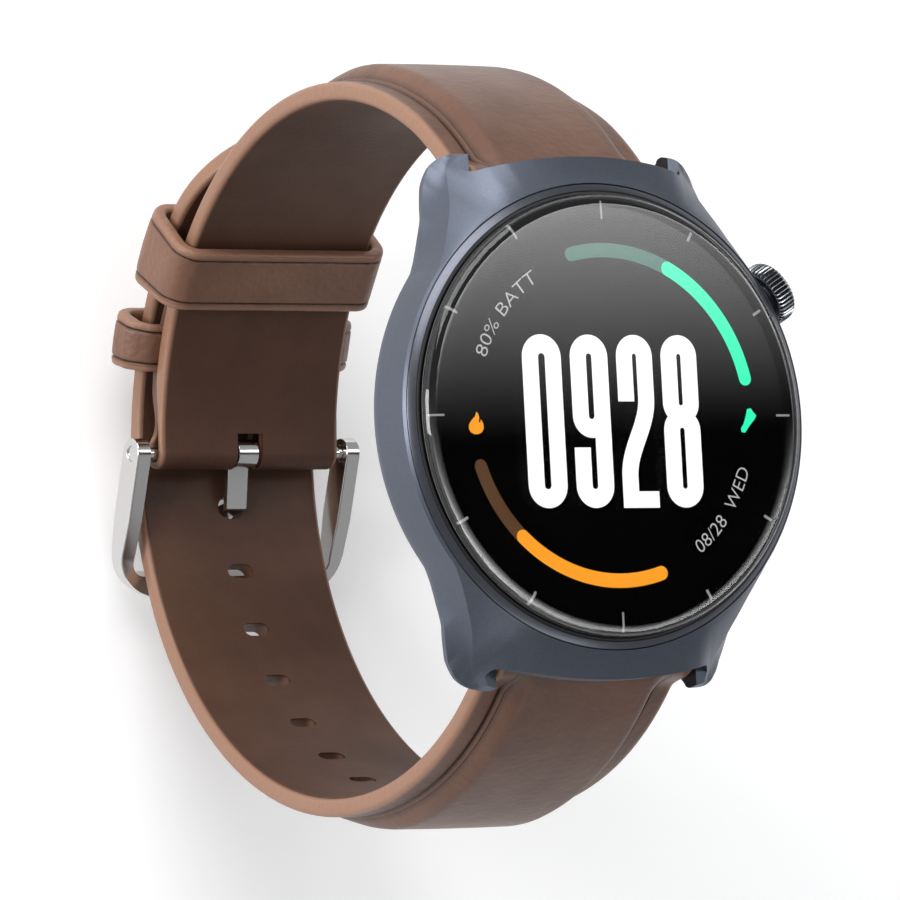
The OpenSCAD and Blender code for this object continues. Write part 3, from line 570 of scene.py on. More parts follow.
def softened(node, name, body, width, angle=28, steps=3):
    """A welded copy of a CAD node, its sharp edges rounded by a bevel."""
    mesh = nodes[node].data.copy()
    work = bmesh.new()
    work.from_mesh(mesh)
    bmesh.ops.remove_doubles(work, verts=work.verts, dist=3e-6)
    bmesh.ops.dissolve_degenerate(work, dist=1e-6, edges=work.edges)
    bmesh.ops.dissolve_limit(work, angle_limit=math.radians(0.6), verts=work.verts, edges=work.edges)
    work.to_mesh(mesh)
    work.free()
    mesh.materials.clear()
    mesh.shade_smooth()
    mesh.set_sharp_from_angle(angle=math.radians(angle))
    piece = bpy.data.objects.new(name, mesh)
    bpy.context.scene.collection.objects.link(piece)
    bevel = piece.modifiers.new("soft_edges", "BEVEL")
    bevel.width = width * MM
    bevel.segments = steps
    bevel.limit_method = "ANGLE"
    bevel.angle_limit = math.radians(angle)
    bevel.harden_normals = True
    bevel.miter_outer = "MITER_ARC"
    return settle(piece, body, (node,))


softened("buckle_frame", "buckle_frame_steel", "buckle", 0.38, steps=4)
softened("tang", "tang_steel", "tang", 0.16)
softened("back_cover", "back_cover_moulded", "root", 0.12)
softened("back_crystal", "back_crystal_polished", "root", 0.15)

# ---- turned pieces ----
b_in, b_out = BEZEL_HIGH[0] - 0.75, BEZEL_HIGH[0]
b_z = CASE_TOP - 0.03
lathed("bezel_ring_polished", [(b_in, BEZEL_LOW[2]), (b_out, BEZEL_LOW[2]), (b_out, b_z - 0.06),
                               (b_out - 0.02, b_z - 0.02), (b_out - 0.06, b_z + 0.02),
                               (b_in + 0.14, b_z + 0.47), (b_in + 0.08, b_z + 0.5),
                               (b_in + 0.02, b_z + 0.47), (b_in, b_z + 0.42)],
       "root", ("bezel_ring",))
g_in, g_out = GLASS_R + 0.02, b_in - 0.02
lathed("glass_gasket_ring", [(g_in, GLASS_LOW - 0.3), (g_out, GLASS_LOW - 0.3), (g_out, GLASS_LOW + 0.12),
                             (g_out - 0.06, GLASS_LOW + 0.18), (g_in + 0.06, GLASS_LOW + 0.18),
                             (g_in, GLASS_LOW + 0.12)], "root", ("glass_gasket",))


def glass_profile():
    """Half section of the glass: flat below, an upright foot, an elliptic rim and a low dome."""
    q = np.radians(np.linspace(0, 90, 22))
    rim_w, foot = 1.15, GLASS_LOW + 0.5
    rim = np.stack([GLASS_R - rim_w + rim_w * np.cos(q),
                    foot + (GLASS_TOP - 0.03 - foot) * np.sin(q)], -1)
    r = np.linspace(GLASS_R - rim_w, 0, 14)[1:]
    dome = np.stack([r, GLASS_TOP - 0.03 * (r / (GLASS_R - rim_w)) ** 2], -1)
    low = GLASS_LOW + 0.12
    foot_line = [(0, low), (GLASS_R - 4, low), (GLASS_R - 0.55, low), (GLASS_R - 0.5, low),
                 (GLASS_R - 0.08, low), (GLASS_R, low + 0.08)]
    return np.concatenate([foot_line, rim, dome])


glass = lathed("cover_glass_domed", glass_profile(), "root", ("cover_glass",), smooth=50)
spots = points_mm(glass)
near_edge = np.hypot(spots[:, 0], spots[:, 1]) > GLASS_R - 0.52
mark(glass, "painted", near_edge & (spots[:, 2] < GLASS_LOW + 0.51))
FACE_Z = GLASS_LOW + 0.04
lathed("display_face", [(0, GLASS_LOW - 0.3), (GLASS_R - 0.1, GLASS_LOW - 0.3),
                        (GLASS_R - 0.1, FACE_Z), (0, FACE_Z)],
       "root", ("display_panel",), smooth=20)

# ---- case shell ----

# Outer rim of the case in plan, and the edge where its top meets its flank, for one quarter
CASE_R = box_mm("case_frame")[1][0]
RIM_PLAN = np.array([(17.8, 13.9), (17.2, 15.2), (16.75, 16.5), (16.35, 18.0), (16.0, 19.5),
                     (15.65, 21.0), (15.25, 22.5), (14.8, 23.6), (14.3, 24.35), (13.7, 24.85),
                     (13.0, 25.15), (12.3, 25.3),
                     (11, 25.38), (6, 25.38), (0, 25.38)])
EDGE_PLAN = np.array([(17.45, 13.85, 7.95), (16.55, 15.5, 7.45), (15.75, 17.1, 6.8), (15.05, 18.6, 6.2),
                      (14.5, 19.8, 5.6), (14.05, 21.0, 4.9), (13.65, 22.2, 4.1), (13.4, 23.3, 3.5),
                      (13.1, 24.1, 3.2), (12.7, 24.7, 3.5), (12.1, 24.98, 4.1), (11.2, 25.1, 4.9),
                      (9, 25.1, 6.0), (6, 25.1, 6.6), (0, 25.1, 6.95)])


def folded(turn):
    """Angle from the X axis folded into the first quarter, since the four quarters match."""
    return 90 - np.abs(np.mod(turn, 180) - 90)


def quarter_curve(plan, values, turn, flat, spread=0.9):
    """A value against the angle of a plan line: flat up to its start, smoothed over a degree."""
    angle = np.degrees(np.arctan2(plan[:, 1], plan[:, 0]))
    fine = np.arange(-10, 100.01, 0.25)
    raw = np.interp(np.where(fine > 90, 180 - fine, fine), angle, values, left=flat)
    kernel = np.exp(-(np.arange(-12, 13) * 0.25 / spread) ** 2)
    smooth = np.convolve(np.pad(raw, 12, mode="edge"), kernel / kernel.sum(), "valid")
    return np.interp(folded(turn), fine, smooth)


def underside(y):
    """Height of the case's under side against its distance from the dial's middle line."""
    out = [0, 19.2, 20.6, 22.6, 24.2, 24.9, 25.4]
    return np.interp(np.abs(y), out, [2.3, 2.3, 1.8, 1.22, 1.3, 1.6, 2.1])


def case_rings():
    """One closed half section for each angle about the dial's axis.

    From the groove the top falls to the edge line by a power of the way out; the flank then
    bulges as a quarter sine at the sides and is scooped as a power on the lugs, down to the
    rim; the underside rounds in to the back cover; the rest is the plain inner bore."""
    turn = np.unique(np.concatenate([np.arange(0, 360, 0.75), *[np.arange(q - 34, q + 34, 0.3)
                                                                for q in (90, 270)]]) % 360)
    rim_r = quarter_curve(RIM_PLAN, np.hypot(RIM_PLAN[:, 0], RIM_PLAN[:, 1]), turn, CASE_R)
    edge_r = quarter_curve(EDGE_PLAN, np.hypot(EDGE_PLAN[:, 0], EDGE_PLAN[:, 1]), turn, CASE_R - 0.3)
    edge_z = quarter_curve(EDGE_PLAN, EDGE_PLAN[:, 2], turn, CASE_TOP - 0.35)
    lug = ease((folded(turn) - 35) / 12)
    up = np.sin(np.radians(turn))
    rim_z = underside(rim_r * up) + 1.0 + 0.5 * (1 - lug)
    cols = []

    def add(r, z):
        cols.append((r + 0 * turn, z + 0 * turn))

    top_r, top_z = b_out + 0.04, CASE_TOP - 0.03
    add(top_r, top_z - 0.9)
    add(top_r, top_z - 0.06)
    add(top_r + 0.05, top_z)
    for t in [*np.linspace(0.03, 0.95, 15), 0.985, 1]:
        power = 1.0 + 0.15 * lug
        add(top_r + (edge_r - top_r) * t, top_z + (edge_z - top_z) * t ** power)
    for v in [0.02, *np.linspace(0, 1, 16)[1:]]:
        out = (1 - lug) * math.sin(v * math.pi / 2) + lug * (0.6 * v + 0.4 * v ** 2)
        add(edge_r + (rim_r - edge_r) * out, edge_z + (rim_z - edge_z) * v)
    low = underside(rim_r * up)
    for a in (25, 50, 75, 100):
        share = a / 100
        add(rim_r - (0.5 + 0.75 * (1 - lug)) * (1 - math.cos(share * math.pi / 2)),
            rim_z - (rim_z - low) * math.sin(share * math.pi / 2))
    start = rim_r - (0.5 + 0.75 * (1 - lug))
    for t in np.linspace(0, 1, 12)[1:]:
        r = start + (CASE_R - 2.35 - start) * t
        add(r, underside(r * up))
    bore, ledge = CASE_R - 3.3, b_in - 1.5
    add(bore, 2.3)
    add(bore, GLASS_LOW - 1.1)
    add(ledge, GLASS_LOW - 1.1)
    add(ledge, GLASS_LOW - 0.36)
    add(b_in - 0.04, GLASS_LOW - 0.36)
    add(b_in - 0.04, GLASS_LOW - 1.35)
    add(top_r, GLASS_LOW - 1.35)
    r = np.stack([c[0] for c in cols], 1)
    z = np.stack([c[1] for c in cols], 1)
    a = np.radians(turn)[:, None]
    return np.stack([r * np.cos(a), r * np.sin(a), z], -1)


def prism(outline, axis, low, high):
    """A flat outline carried along an axis, as points and faces."""
    outline = np.asarray(outline, float)
    count = len(outline)
    points = np.concatenate([np.insert(outline, axis, level, axis=1) for level in (low, high)])
    faces = grid_faces(2, count, wrap_cols=True).tolist()
    return points, faces + [list(range(count)), list(range(count, 2 * count))]


def slot_cutters(side):
    """Room for the strap's end between two lugs, and the space in front of the case's lip.

    The lip is a shallow arc; its corners at the lugs are rounded. Above 4.1 mm the space is
    1.3 mm wider at each lug."""
    gap, roof, lip_r = 11.2, EYE_R + 0.3, 50
    over = arc((BAR_Y, BAR_Z), roof, 180, 90, 16)
    profile = np.concatenate([[(BAR_Y - roof, -6)], over, [(32, BAR_Z + roof), (32, -6)]])
    profile[:, 0] *= side
    lip_y = BAR_Y + 2.2 - lip_r
    corner = gap - 1.0
    corner_y = lip_y + math.sqrt(lip_r ** 2 - corner ** 2) + 1.0
    right = arc((corner, corner_y), 1.0, 0, -90, 10)
    span = np.linspace(corner, -corner, 24)[1:-1]
    lip = np.column_stack([span, lip_y + np.sqrt(lip_r ** 2 - span ** 2)])
    left = right[::-1] * (-1, 1)
    front = np.concatenate([[(gap, 32)], right, lip, left, [(-gap, 32)]])
    front[:, 1] *= side
    at_corner = np.abs(front[:, 0]) > corner - 0.001
    wide = front.copy()
    wide[:, 0] += np.where(at_corner, 1.3 * np.sign(front[:, 0]), 0)
    wide[:, 1] += side * np.where(at_corner, -0.3, 0.05)
    return prism(wide, 2, 4.1, 16), prism(profile, 0, -gap, gap), prism(front, 2, -6, 16)


def case_shell():
    """The case with its lugs: closed rings round the dial, then the strap's slot cut at each end."""
    shell = looped("case_shell", case_rings(), None, smooth=30)
    for both in zip(slot_cutters(1), slot_cutters(-1)):
        cut(shell, list(both))
    shell.data.set_sharp_from_angle(angle=math.radians(26))
    bevel = shell.modifiers.new("soft_edges", "BEVEL")
    bevel.width = 0.16 * MM
    bevel.segments = 2
    bevel.limit_method = "ANGLE"
    bevel.angle_limit = math.radians(26)
    bevel.harden_normals = True
    return settle(shell, "root", ("case_frame",))


case_shell()

# ---- crown ----
CROWN_DIR = np.array([math.sin(math.radians(60)), math.cos(math.radians(60)), 0.0])
CROWN_Z = middle_mm("crown")[2]
CROWN_IN = CASE_R + 0.4
RIDGES = 44


def crown_head():
    """Knurled cap: radius follows a rounded profile, less a ridge wave that fades at both ends.

    The wave is a raised cosine of 44 turns, sharpened so that the ridges are narrow."""
    prof = np.array([(0, 0.02), (1.6, 0.02), (2.6, 0.02), (2.78, 0.06), (2.92, 0.16), (3.02, 0.3),
                     (3.05, 0.5), (3.05, 0.8), (3.05, 1.1), (3.05, 1.4), (3.03, 1.6), (2.97, 1.78),
                     (2.86, 1.95), (2.7, 2.1), (2.5, 2.2), (2.3, 2.26), (2.15, 2.28), (2.05, 2.24),
                     (1.95, 2.2), (1.2, 2.22), (0, 2.23)])
    turn = np.linspace(0, 2 * np.pi, RIDGES * 10, endpoint=False)[:, None]
    wave = ((1 - np.cos(RIDGES * turn)) / 2) ** 0.7
    fade = clamp((prof[:, 0] - 2.35) / 0.35) * clamp(prof[:, 1] / 0.15)
    r = prof[:, 0] - 0.24 * wave * fade
    out = CROWN_IN + prof[:, 1] + 0 * turn
    side = np.array([CROWN_DIR[1], -CROWN_DIR[0], 0])
    points = (out[..., None] * CROWN_DIR + (r * np.cos(turn))[..., None] * side
              + (r * np.sin(turn))[..., None] * np.array([0, 0, 1.0]))
    return points + np.array([0, 0, CROWN_Z]), wave * fade


crown_points, valley = crown_head()
crown = looped("crown_knurled", crown_points, None, smooth=60)
# the valley mask carries the painted shade in the knurl's grooves
mark(crown, "valley", nearest_values(crown, crown_points, valley)[:, 0])
settle(crown, "crown_knob", ("crown",))


# ---- watch face: thin raised marks on the display ----
MARK_T = 0.02
TICK_R = 20.05
ARC_R, ARC_W = 15.6, 1.35


def ribbon(line, width, closed=False):
    """A mark of a given width along a line in the dial's plane, as a thin closed slab.

    Each line point becomes a ring of four: half the width to each side, low and high."""
    line = np.asarray(line, float)
    width = np.broadcast_to(np.asarray(width, float), len(line))
    step = np.roll(line, -1, 0) - np.roll(line, 1, 0) if closed else np.gradient(line, axis=0)
    side = np.stack([-step[:, 1], step[:, 0]], -1) / np.linalg.norm(step, axis=1)[:, None]
    left, right = line + side * width[:, None] / 2, line - side * width[:, None] / 2
    low, high = FACE_Z + 0 * line[:, :1], FACE_Z + MARK_T + 0 * line[:, :1]
    rings = np.stack([np.hstack([left, low]), np.hstack([right, low]),
                      np.hstack([right, high]), np.hstack([left, high])], 1)
    faces = grid_faces(len(line), 4, wrap_rows=closed, wrap_cols=True).tolist()
    if not closed:
        last = 4 * len(line) - 4
        faces += [[3, 2, 1, 0], [last, last + 1, last + 2, last + 3]]
    return rings.reshape(-1, 3), faces


def patch(outline):
    """A filled mark: its outline at two heights, capped."""
    return prism(outline, 2, FACE_Z, FACE_Z + MARK_T)


def dial(radius, clock):
    """Places on the dial at angles clockwise from 12."""
    a = np.radians(clock)
    return np.stack([radius * np.sin(a), radius * np.cos(a)], -1)


def arc_mark(start, end):
    """Part of a ring with round ends: past each end the width follows a half circle."""
    cap = ARC_W / 2 * np.sin(np.radians(np.linspace(85, 0, 9)))
    more = np.degrees(cap / ARC_R)
    sign = 1 if end > start else -1
    between = np.linspace(start, end, 60)[1:-1]
    clock = np.concatenate([start - sign * more, between, end + sign * more[::-1]])
    w = 2 * np.sqrt(np.maximum(0, (ARC_W / 2) ** 2 - cap ** 2))
    return ribbon(dial(ARC_R, clock), np.concatenate([w, np.full(len(between), ARC_W), w[::-1]]))


def stadium(x, half, top, bottom):
    """Closed centre line of a tall loop: half circles joined by straight sides."""
    up = arc((x, top - half), half, 0, 180, 18)
    down = arc((x, bottom + half), half, 180, 360, 18)
    left = np.linspace(up[-1], down[0], 8)[1:-1]
    right = np.linspace(down[-1], up[0], 8)[1:-1]
    return np.concatenate([up, left, down, right])


def digits():
    """0928 in tall narrow strokes of even width."""
    s, top, low = 1.78, 7.6, -8.75
    inset = s / 2
    marks = [ribbon(stadium(-7.55, 1.26, top - inset, low + inset), s, closed=True)]
    x, h = -2.3, 1.2
    marks.append(ribbon(stadium(x, h, top - inset, top - 9.75 + inset), s, closed=True))
    hook = arc((x, low + inset + h), h, 0, -180, 18)
    marks.append(ribbon(np.concatenate([[(x + h, top - inset - h), (x + h, -3), (x + h, -5.5)], hook,
                                        [(x - h, top - 10.65)]]), s))
    x, h = 2.78, 1.12
    over = arc((x, top - inset - h), h, 180, 0, 18)
    t = np.linspace(0, 1, 22)
    swing = np.stack([x + h - 2 * h * ease(t), top - 6.0 - 7.4 * t], -1)
    line = [[(x - h, top - 6.3), (x - h, top - 4)], over, [(x + h, top - 4)], swing,
            [(x - h, low + 1.4), (x - h, low)]]
    marks.append(ribbon(np.concatenate(line), s))
    foot = 0.78
    marks.append(ribbon([(x + side, low + foot) for side in (-h - inset, 0, h + inset)], 2 * foot))
    x, h = 7.78, 1.12
    marks.append(ribbon(stadium(x, h, top - inset, top - 8.45 + inset), s, closed=True))
    marks.append(ribbon(stadium(x, h + 0.03, top - 7.0 - inset, low + inset), s, closed=True))
    return marks


def lettering(body, start, end, radius, height, inward):
    """Small figures bent on an arc: the place along the line becomes the angle."""
    curve = bpy.data.curves.new("figures", "FONT")
    curve.body = body
    curve.size = 1.0
    curve.resolution_u = 3
    curve.extrude = 0.01
    curve.offset = -0.012
    text = bpy.data.objects.new("figures", curve)
    bpy.context.scene.collection.objects.link(text)
    bpy.context.view_layer.update()
    mesh = bpy.data.meshes.new_from_object(text.evaluated_get(bpy.context.evaluated_depsgraph_get()))
    flat = np.empty(len(mesh.vertices) * 3)
    mesh.vertices.foreach_get("co", flat)
    p = flat.reshape(-1, 3)
    faces = [list(f.vertices) for f in mesh.polygons]
    bpy.data.objects.remove(text)
    x = (p[:, 0] - p[:, 0].min()) / np.ptp(p[:, 0])
    y = (p[:, 1] - p[:, 1].min()) / np.ptp(p[:, 1]) - 0.5
    r = radius + (-y if inward else y) * height
    place = dial(1, start + (end - start) * x) * r[:, None]
    return np.column_stack([place, FACE_Z + 0.01 + p[:, 2]]), faces


def marks_piece(name, marks):
    points, faces, first = [], [], 0
    for p, f in marks:
        points.append(p)
        faces += [[i + first for i in face] for face in f]
        first += len(p)
    return make_piece(name, np.concatenate(points), faces, "root", smooth=20)


def ticks():
    marks = []
    for hour in range(12):
        long = hour % 3 == 0
        span = np.linspace(TICK_R - (1.5 if long else 0.95), TICK_R, 3)
        marks.append(ribbon(dial(1, 30.0 * hour) * span[:, None], 0.2 if long else 0.26))
    return marks


FLAME = np.array([(0.05, 1.05), (-0.1, 0.62), (-0.5, 0.28), (-0.8, -0.12), (-0.86, -0.52),
                  (-0.66, -0.86), (-0.28, -1.05), (0.16, -1.05), (0.56, -0.86), (0.78, -0.5),
                  (0.74, -0.05), (0.5, 0.34), (0.42, 0.02), (0.26, 0.1), (0.34, 0.5), (0.24, 0.86)])
SHOE = np.array([(-0.75, -1.15), (-0.35, -1.2), (0.1, -0.62), (0.85, 0.15), (1.0, 0.45), (0.72, 0.72),
                 (0.42, 1.12), (0.0, 1.05), (-0.12, 0.62), (-0.3, 0.1), (-0.52, -0.42), (-0.82, -0.8)])
marks_piece("face_digits", digits())
marks_piece("face_ticks", ticks())
marks_piece("face_figures", [lettering("80% BATT", -68.5, -30.8, 15.3, 1.3, False),
                             lettering("08/28  WED", 145.2, 109.0, 15.35, 1.3, True)])
marks_piece("face_arc_green_dim", [arc_mark(-13.5, 27)])
marks_piece("face_arc_orange_dim", [arc_mark(252, 223)])
for mark_name, parts in (("face_arc_green", [arc_mark(27, 77), patch(SHOE + (15.25, -0.45))]),
                         ("face_arc_orange", [arc_mark(223, 163), patch(FLAME + (-15.1, -0.75))])):
    raised = [(p + [0, 0, 0.015], f) for p, f in parts]
    marks_piece(mark_name, raised)

# ---- shared effects ----


def link(tree, source, target):
    tree.links.new(source, target)


def node(tree, kind, **values):
    """A shader node with its properties, or its inputs by name, set."""
    made = tree.nodes.new(kind)
    for key, value in values.items():
        label = key.replace("_", " ")
        if label in made.inputs:
            made.inputs[label].default_value = value
        else:
            setattr(made, key, value)
    return made


def effect(name, inputs, outputs):
    """An empty shader node group with named number sockets."""
    tree = bpy.data.node_groups.new(name, "ShaderNodeTree")
    for label, kind, value in inputs:
        socket = tree.interface.new_socket(name=label, in_out="INPUT", socket_type=kind)
        socket.default_value = value
    for label, kind in outputs:
        tree.interface.new_socket(name=label, in_out="OUTPUT", socket_type=kind)
    return tree, tree.nodes.new("NodeGroupInput"), tree.nodes.new("NodeGroupOutput")


def sums(tree, operation, a, b):
    made = tree.nodes.new("ShaderNodeMath")
    made.operation = operation
    for i, value in enumerate((a, b)):
        if hasattr(value, "is_linked"):
            link(tree, value, made.inputs[i])
        else:
            made.inputs[i].default_value = value
    return made.outputs[0]


NUMBER = "NodeSocketFloat"


def leather_grain():
    """Pebbled grain: cells of a stretched noise, fine pores, soft wrinkles and a slow change of tone."""
    tree, given, result = effect("leather_grain",
                                 [("Cells", NUMBER, 1500.0), ("Wrinkles", NUMBER, 160.0)],
                                 [("Height", NUMBER), ("Tone", NUMBER)])
    place = node(tree, "ShaderNodeTexCoord").outputs["Object"]
    bend = node(tree, "ShaderNodeTexNoise", Scale=420.0, Detail=2.0)
    link(tree, place, bend.inputs["Vector"])
    push = node(tree, "ShaderNodeVectorMath", operation="SCALE")
    push.inputs["Scale"].default_value = 0.0011
    link(tree, bend.outputs["Color"], push.inputs[0])
    moved = node(tree, "ShaderNodeVectorMath", operation="ADD")
    link(tree, place, moved.inputs[0])
    link(tree, push.outputs[0], moved.inputs[1])
    cells = node(tree, "ShaderNodeTexVoronoi", feature="SMOOTH_F1")
    cells.inputs["Smoothness"].default_value = 0.6
    link(tree, given.outputs["Cells"], cells.inputs["Scale"])
    link(tree, moved.outputs[0], cells.inputs["Vector"])
    pores = node(tree, "ShaderNodeTexNoise", Scale=5200.0, Detail=2.0)
    link(tree, place, pores.inputs["Vector"])
    folds = node(tree, "ShaderNodeTexNoise", Detail=5.0, Roughness=0.62)
    link(tree, given.outputs["Wrinkles"], folds.inputs["Scale"])
    link(tree, moved.outputs[0], folds.inputs["Vector"])
    slow = node(tree, "ShaderNodeTexNoise", Scale=48.0, Detail=6.0, Roughness=0.6)
    link(tree, place, slow.inputs["Vector"])
    pebble = sums(tree, "MULTIPLY", cells.outputs["Distance"], -0.7)
    height = sums(tree, "ADD", sums(tree, "ADD", pebble, sums(tree, "MULTIPLY", pores.outputs[0], 0.25)),
                  sums(tree, "MULTIPLY", folds.outputs[0], 1.1))
    link(tree, height, result.inputs["Height"])
    mixed = sums(tree, "ADD", sums(tree, "MULTIPLY", slow.outputs[0], 0.7),
                 sums(tree, "MULTIPLY", folds.outputs[0], 0.3))
    link(tree, mixed, result.inputs["Tone"])
    return tree


def fine_grain():
    """Fine even grain of blasted metal or moulded plastic, with slow smudges for its gloss."""
    tree, given, result = effect("fine_grain", [("Grain", NUMBER, 4200.0)],
                                 [("Height", NUMBER), ("Smudge", NUMBER)])
    place = node(tree, "ShaderNodeTexCoord").outputs["Object"]
    grain = node(tree, "ShaderNodeTexNoise", Detail=3.0, Roughness=0.7)
    link(tree, given.outputs["Grain"], grain.inputs["Scale"])
    link(tree, place, grain.inputs["Vector"])
    smudge = node(tree, "ShaderNodeTexNoise", Scale=90.0, Detail=5.0, Roughness=0.6)
    link(tree, place, smudge.inputs["Vector"])
    link(tree, grain.outputs[0], result.inputs["Height"])
    link(tree, smudge.outputs[0], result.inputs["Smudge"])
    return tree


LEATHER, GRAIN = leather_grain(), fine_grain()
GRAIN_DEPTH, PEBBLE_DEPTH = 0.00002, 0.00012


def finish_of(name, colour, roughness, metallic=0.0, **more):
    """A material with one principled shader, whose constant values stand on its own sockets."""
    mat = bpy.data.materials.new(name)
    mat.use_nodes = True
    shader = mat.node_tree.nodes["Principled BSDF"]
    shader.inputs["Base Color"].default_value = (*colour, 1)
    shader.inputs["Roughness"].default_value = roughness
    shader.inputs["Metallic"].default_value = metallic
    for key, value in more.items():
        shader.inputs[key.replace("_", " ")].default_value = value
    return mat, mat.node_tree, shader


def spread(tree, value, low, high, from_low=0.3, from_high=0.7):
    """Map a mask to a range of numbers."""
    made = node(tree, "ShaderNodeMapRange")
    for label, number in (("From Min", from_low), ("From Max", from_high),
                          ("To Min", low), ("To Max", high)):
        made.inputs[label].default_value = number
    link(tree, value, made.inputs["Value"])
    return made.outputs[0]


def blend_colours(tree, mask, low, high):
    """Mix of two colours, each a constant or a socket, by a mask."""
    made = node(tree, "ShaderNodeMix", data_type="RGBA")
    link(tree, mask, made.inputs[0])
    for socket, value in ((made.inputs[6], low), (made.inputs[7], high)):
        if hasattr(value, "is_linked"):
            link(tree, value, socket)
        else:
            socket.default_value = (*value, 1)
    return made.outputs[2]


def bumped(tree, shader, height, strength, distance):
    bump = node(tree, "ShaderNodeBump", Strength=strength, Distance=distance)
    link(tree, height, bump.inputs["Height"])
    link(tree, bump.outputs[0], shader.inputs["Normal"])


def attribute(tree, name):
    return node(tree, "ShaderNodeAttribute", attribute_name=name).outputs["Fac"]


def grained(name, colour, roughness, metallic=0.0, grain=4200.0, strength=0.15, contrast=0.12, **more):
    """Metal or plastic with fine grain in its relief and smudges in its gloss."""
    mat, tree, shader = finish_of(name, colour, roughness, metallic, **more)
    use = node(tree, "ShaderNodeGroup", node_tree=GRAIN)
    use.inputs["Grain"].default_value = grain
    less, more_of = 1 - contrast, 1 + contrast
    gloss = spread(tree, use.outputs["Smudge"], roughness * less, roughness * more_of)
    link(tree, gloss, shader.inputs["Roughness"])
    dark, light = [tuple(c * k for c in colour) for k in (less, more_of)]
    tone = blend_colours(tree, spread(tree, use.outputs["Height"], 0, 1), dark, light)
    link(tree, tone, shader.inputs["Base Color"])
    bumped(tree, shader, use.outputs["Height"], strength, GRAIN_DEPTH)
    return mat


def leather(name, dark, light, edge, roughness, cells, relief, **more):
    """Leather: two tones by its slow change, painted shade that darkens the creases, and a paler painted
    or cut edge.
    """
    mat, tree, shader = finish_of(name, light, roughness, **more)
    use = node(tree, "ShaderNodeGroup", node_tree=LEATHER)
    use.inputs["Cells"].default_value = cells
    body = blend_colours(tree, spread(tree, use.outputs["Tone"], 0, 1, 0.36, 0.64), dark, light)
    edged = blend_colours(tree, attribute(tree, "rim"), body, edge)
    # painted shade: along the creases the colour falls to 0.28 of the dark tone
    crease_shaded = blend_colours(tree, attribute(tree, "crease"), edged, tuple(c * 0.28 for c in dark))
    link(tree, crease_shaded, shader.inputs["Base Color"])
    gloss = spread(tree, use.outputs["Tone"], roughness + 0.06, roughness - 0.06)
    link(tree, gloss, shader.inputs["Roughness"])
    bumped(tree, shader, use.outputs["Height"], relief, PEBBLE_DEPTH)
    return mat


def lit(name, colour, strength):
    """A lit mark of the display, with a faint change across its surface."""
    mat, tree, shader = finish_of(name, tuple(c * 0.03 for c in colour), 0.5)
    use = node(tree, "ShaderNodeGroup", node_tree=GRAIN)
    use.inputs["Grain"].default_value = 9000.0
    dim = tuple(c * 0.97 for c in colour)
    link(tree, blend_colours(tree, use.outputs["Height"], dim, colour), shader.inputs["Emission Color"])
    shader.inputs["Emission Strength"].default_value = strength
    return mat


def knurled_metal():
    """Bright ridges over valleys darkened with painted shade, read from the crown's own valley mask."""
    mat, tree, shader = finish_of("crown_metal", (0.5, 0.51, 0.53), 0.22, 1.0)
    tone = spread(tree, attribute(tree, "valley"), 0, 1, 0.15, 0.6)
    # painted shade: the knurl's grooves go near black
    valley_shaded = blend_colours(tree, tone, (0.42, 0.43, 0.46), (0.02, 0.021, 0.024))
    link(tree, valley_shaded, shader.inputs["Base Color"])
    use = node(tree, "ShaderNodeGroup", node_tree=GRAIN)
    bumped(tree, shader, use.outputs["Height"], 0.12, GRAIN_DEPTH)
    return mat


def clear_glass():
    """Clear glass, painted black on its foot and round its under side."""
    mat, tree, shader = finish_of("cover_glass", (1, 1, 1), 0.0, Transmission_Weight=1.0, IOR=1.5)
    painted = attribute(tree, "painted")
    tint = blend_colours(tree, painted, (1, 1, 1), (0.004, 0.004, 0.004))
    link(tree, tint, shader.inputs["Base Color"])
    link(tree, sums(tree, "SUBTRACT", 1.0, painted), shader.inputs["Transmission Weight"])
    return mat


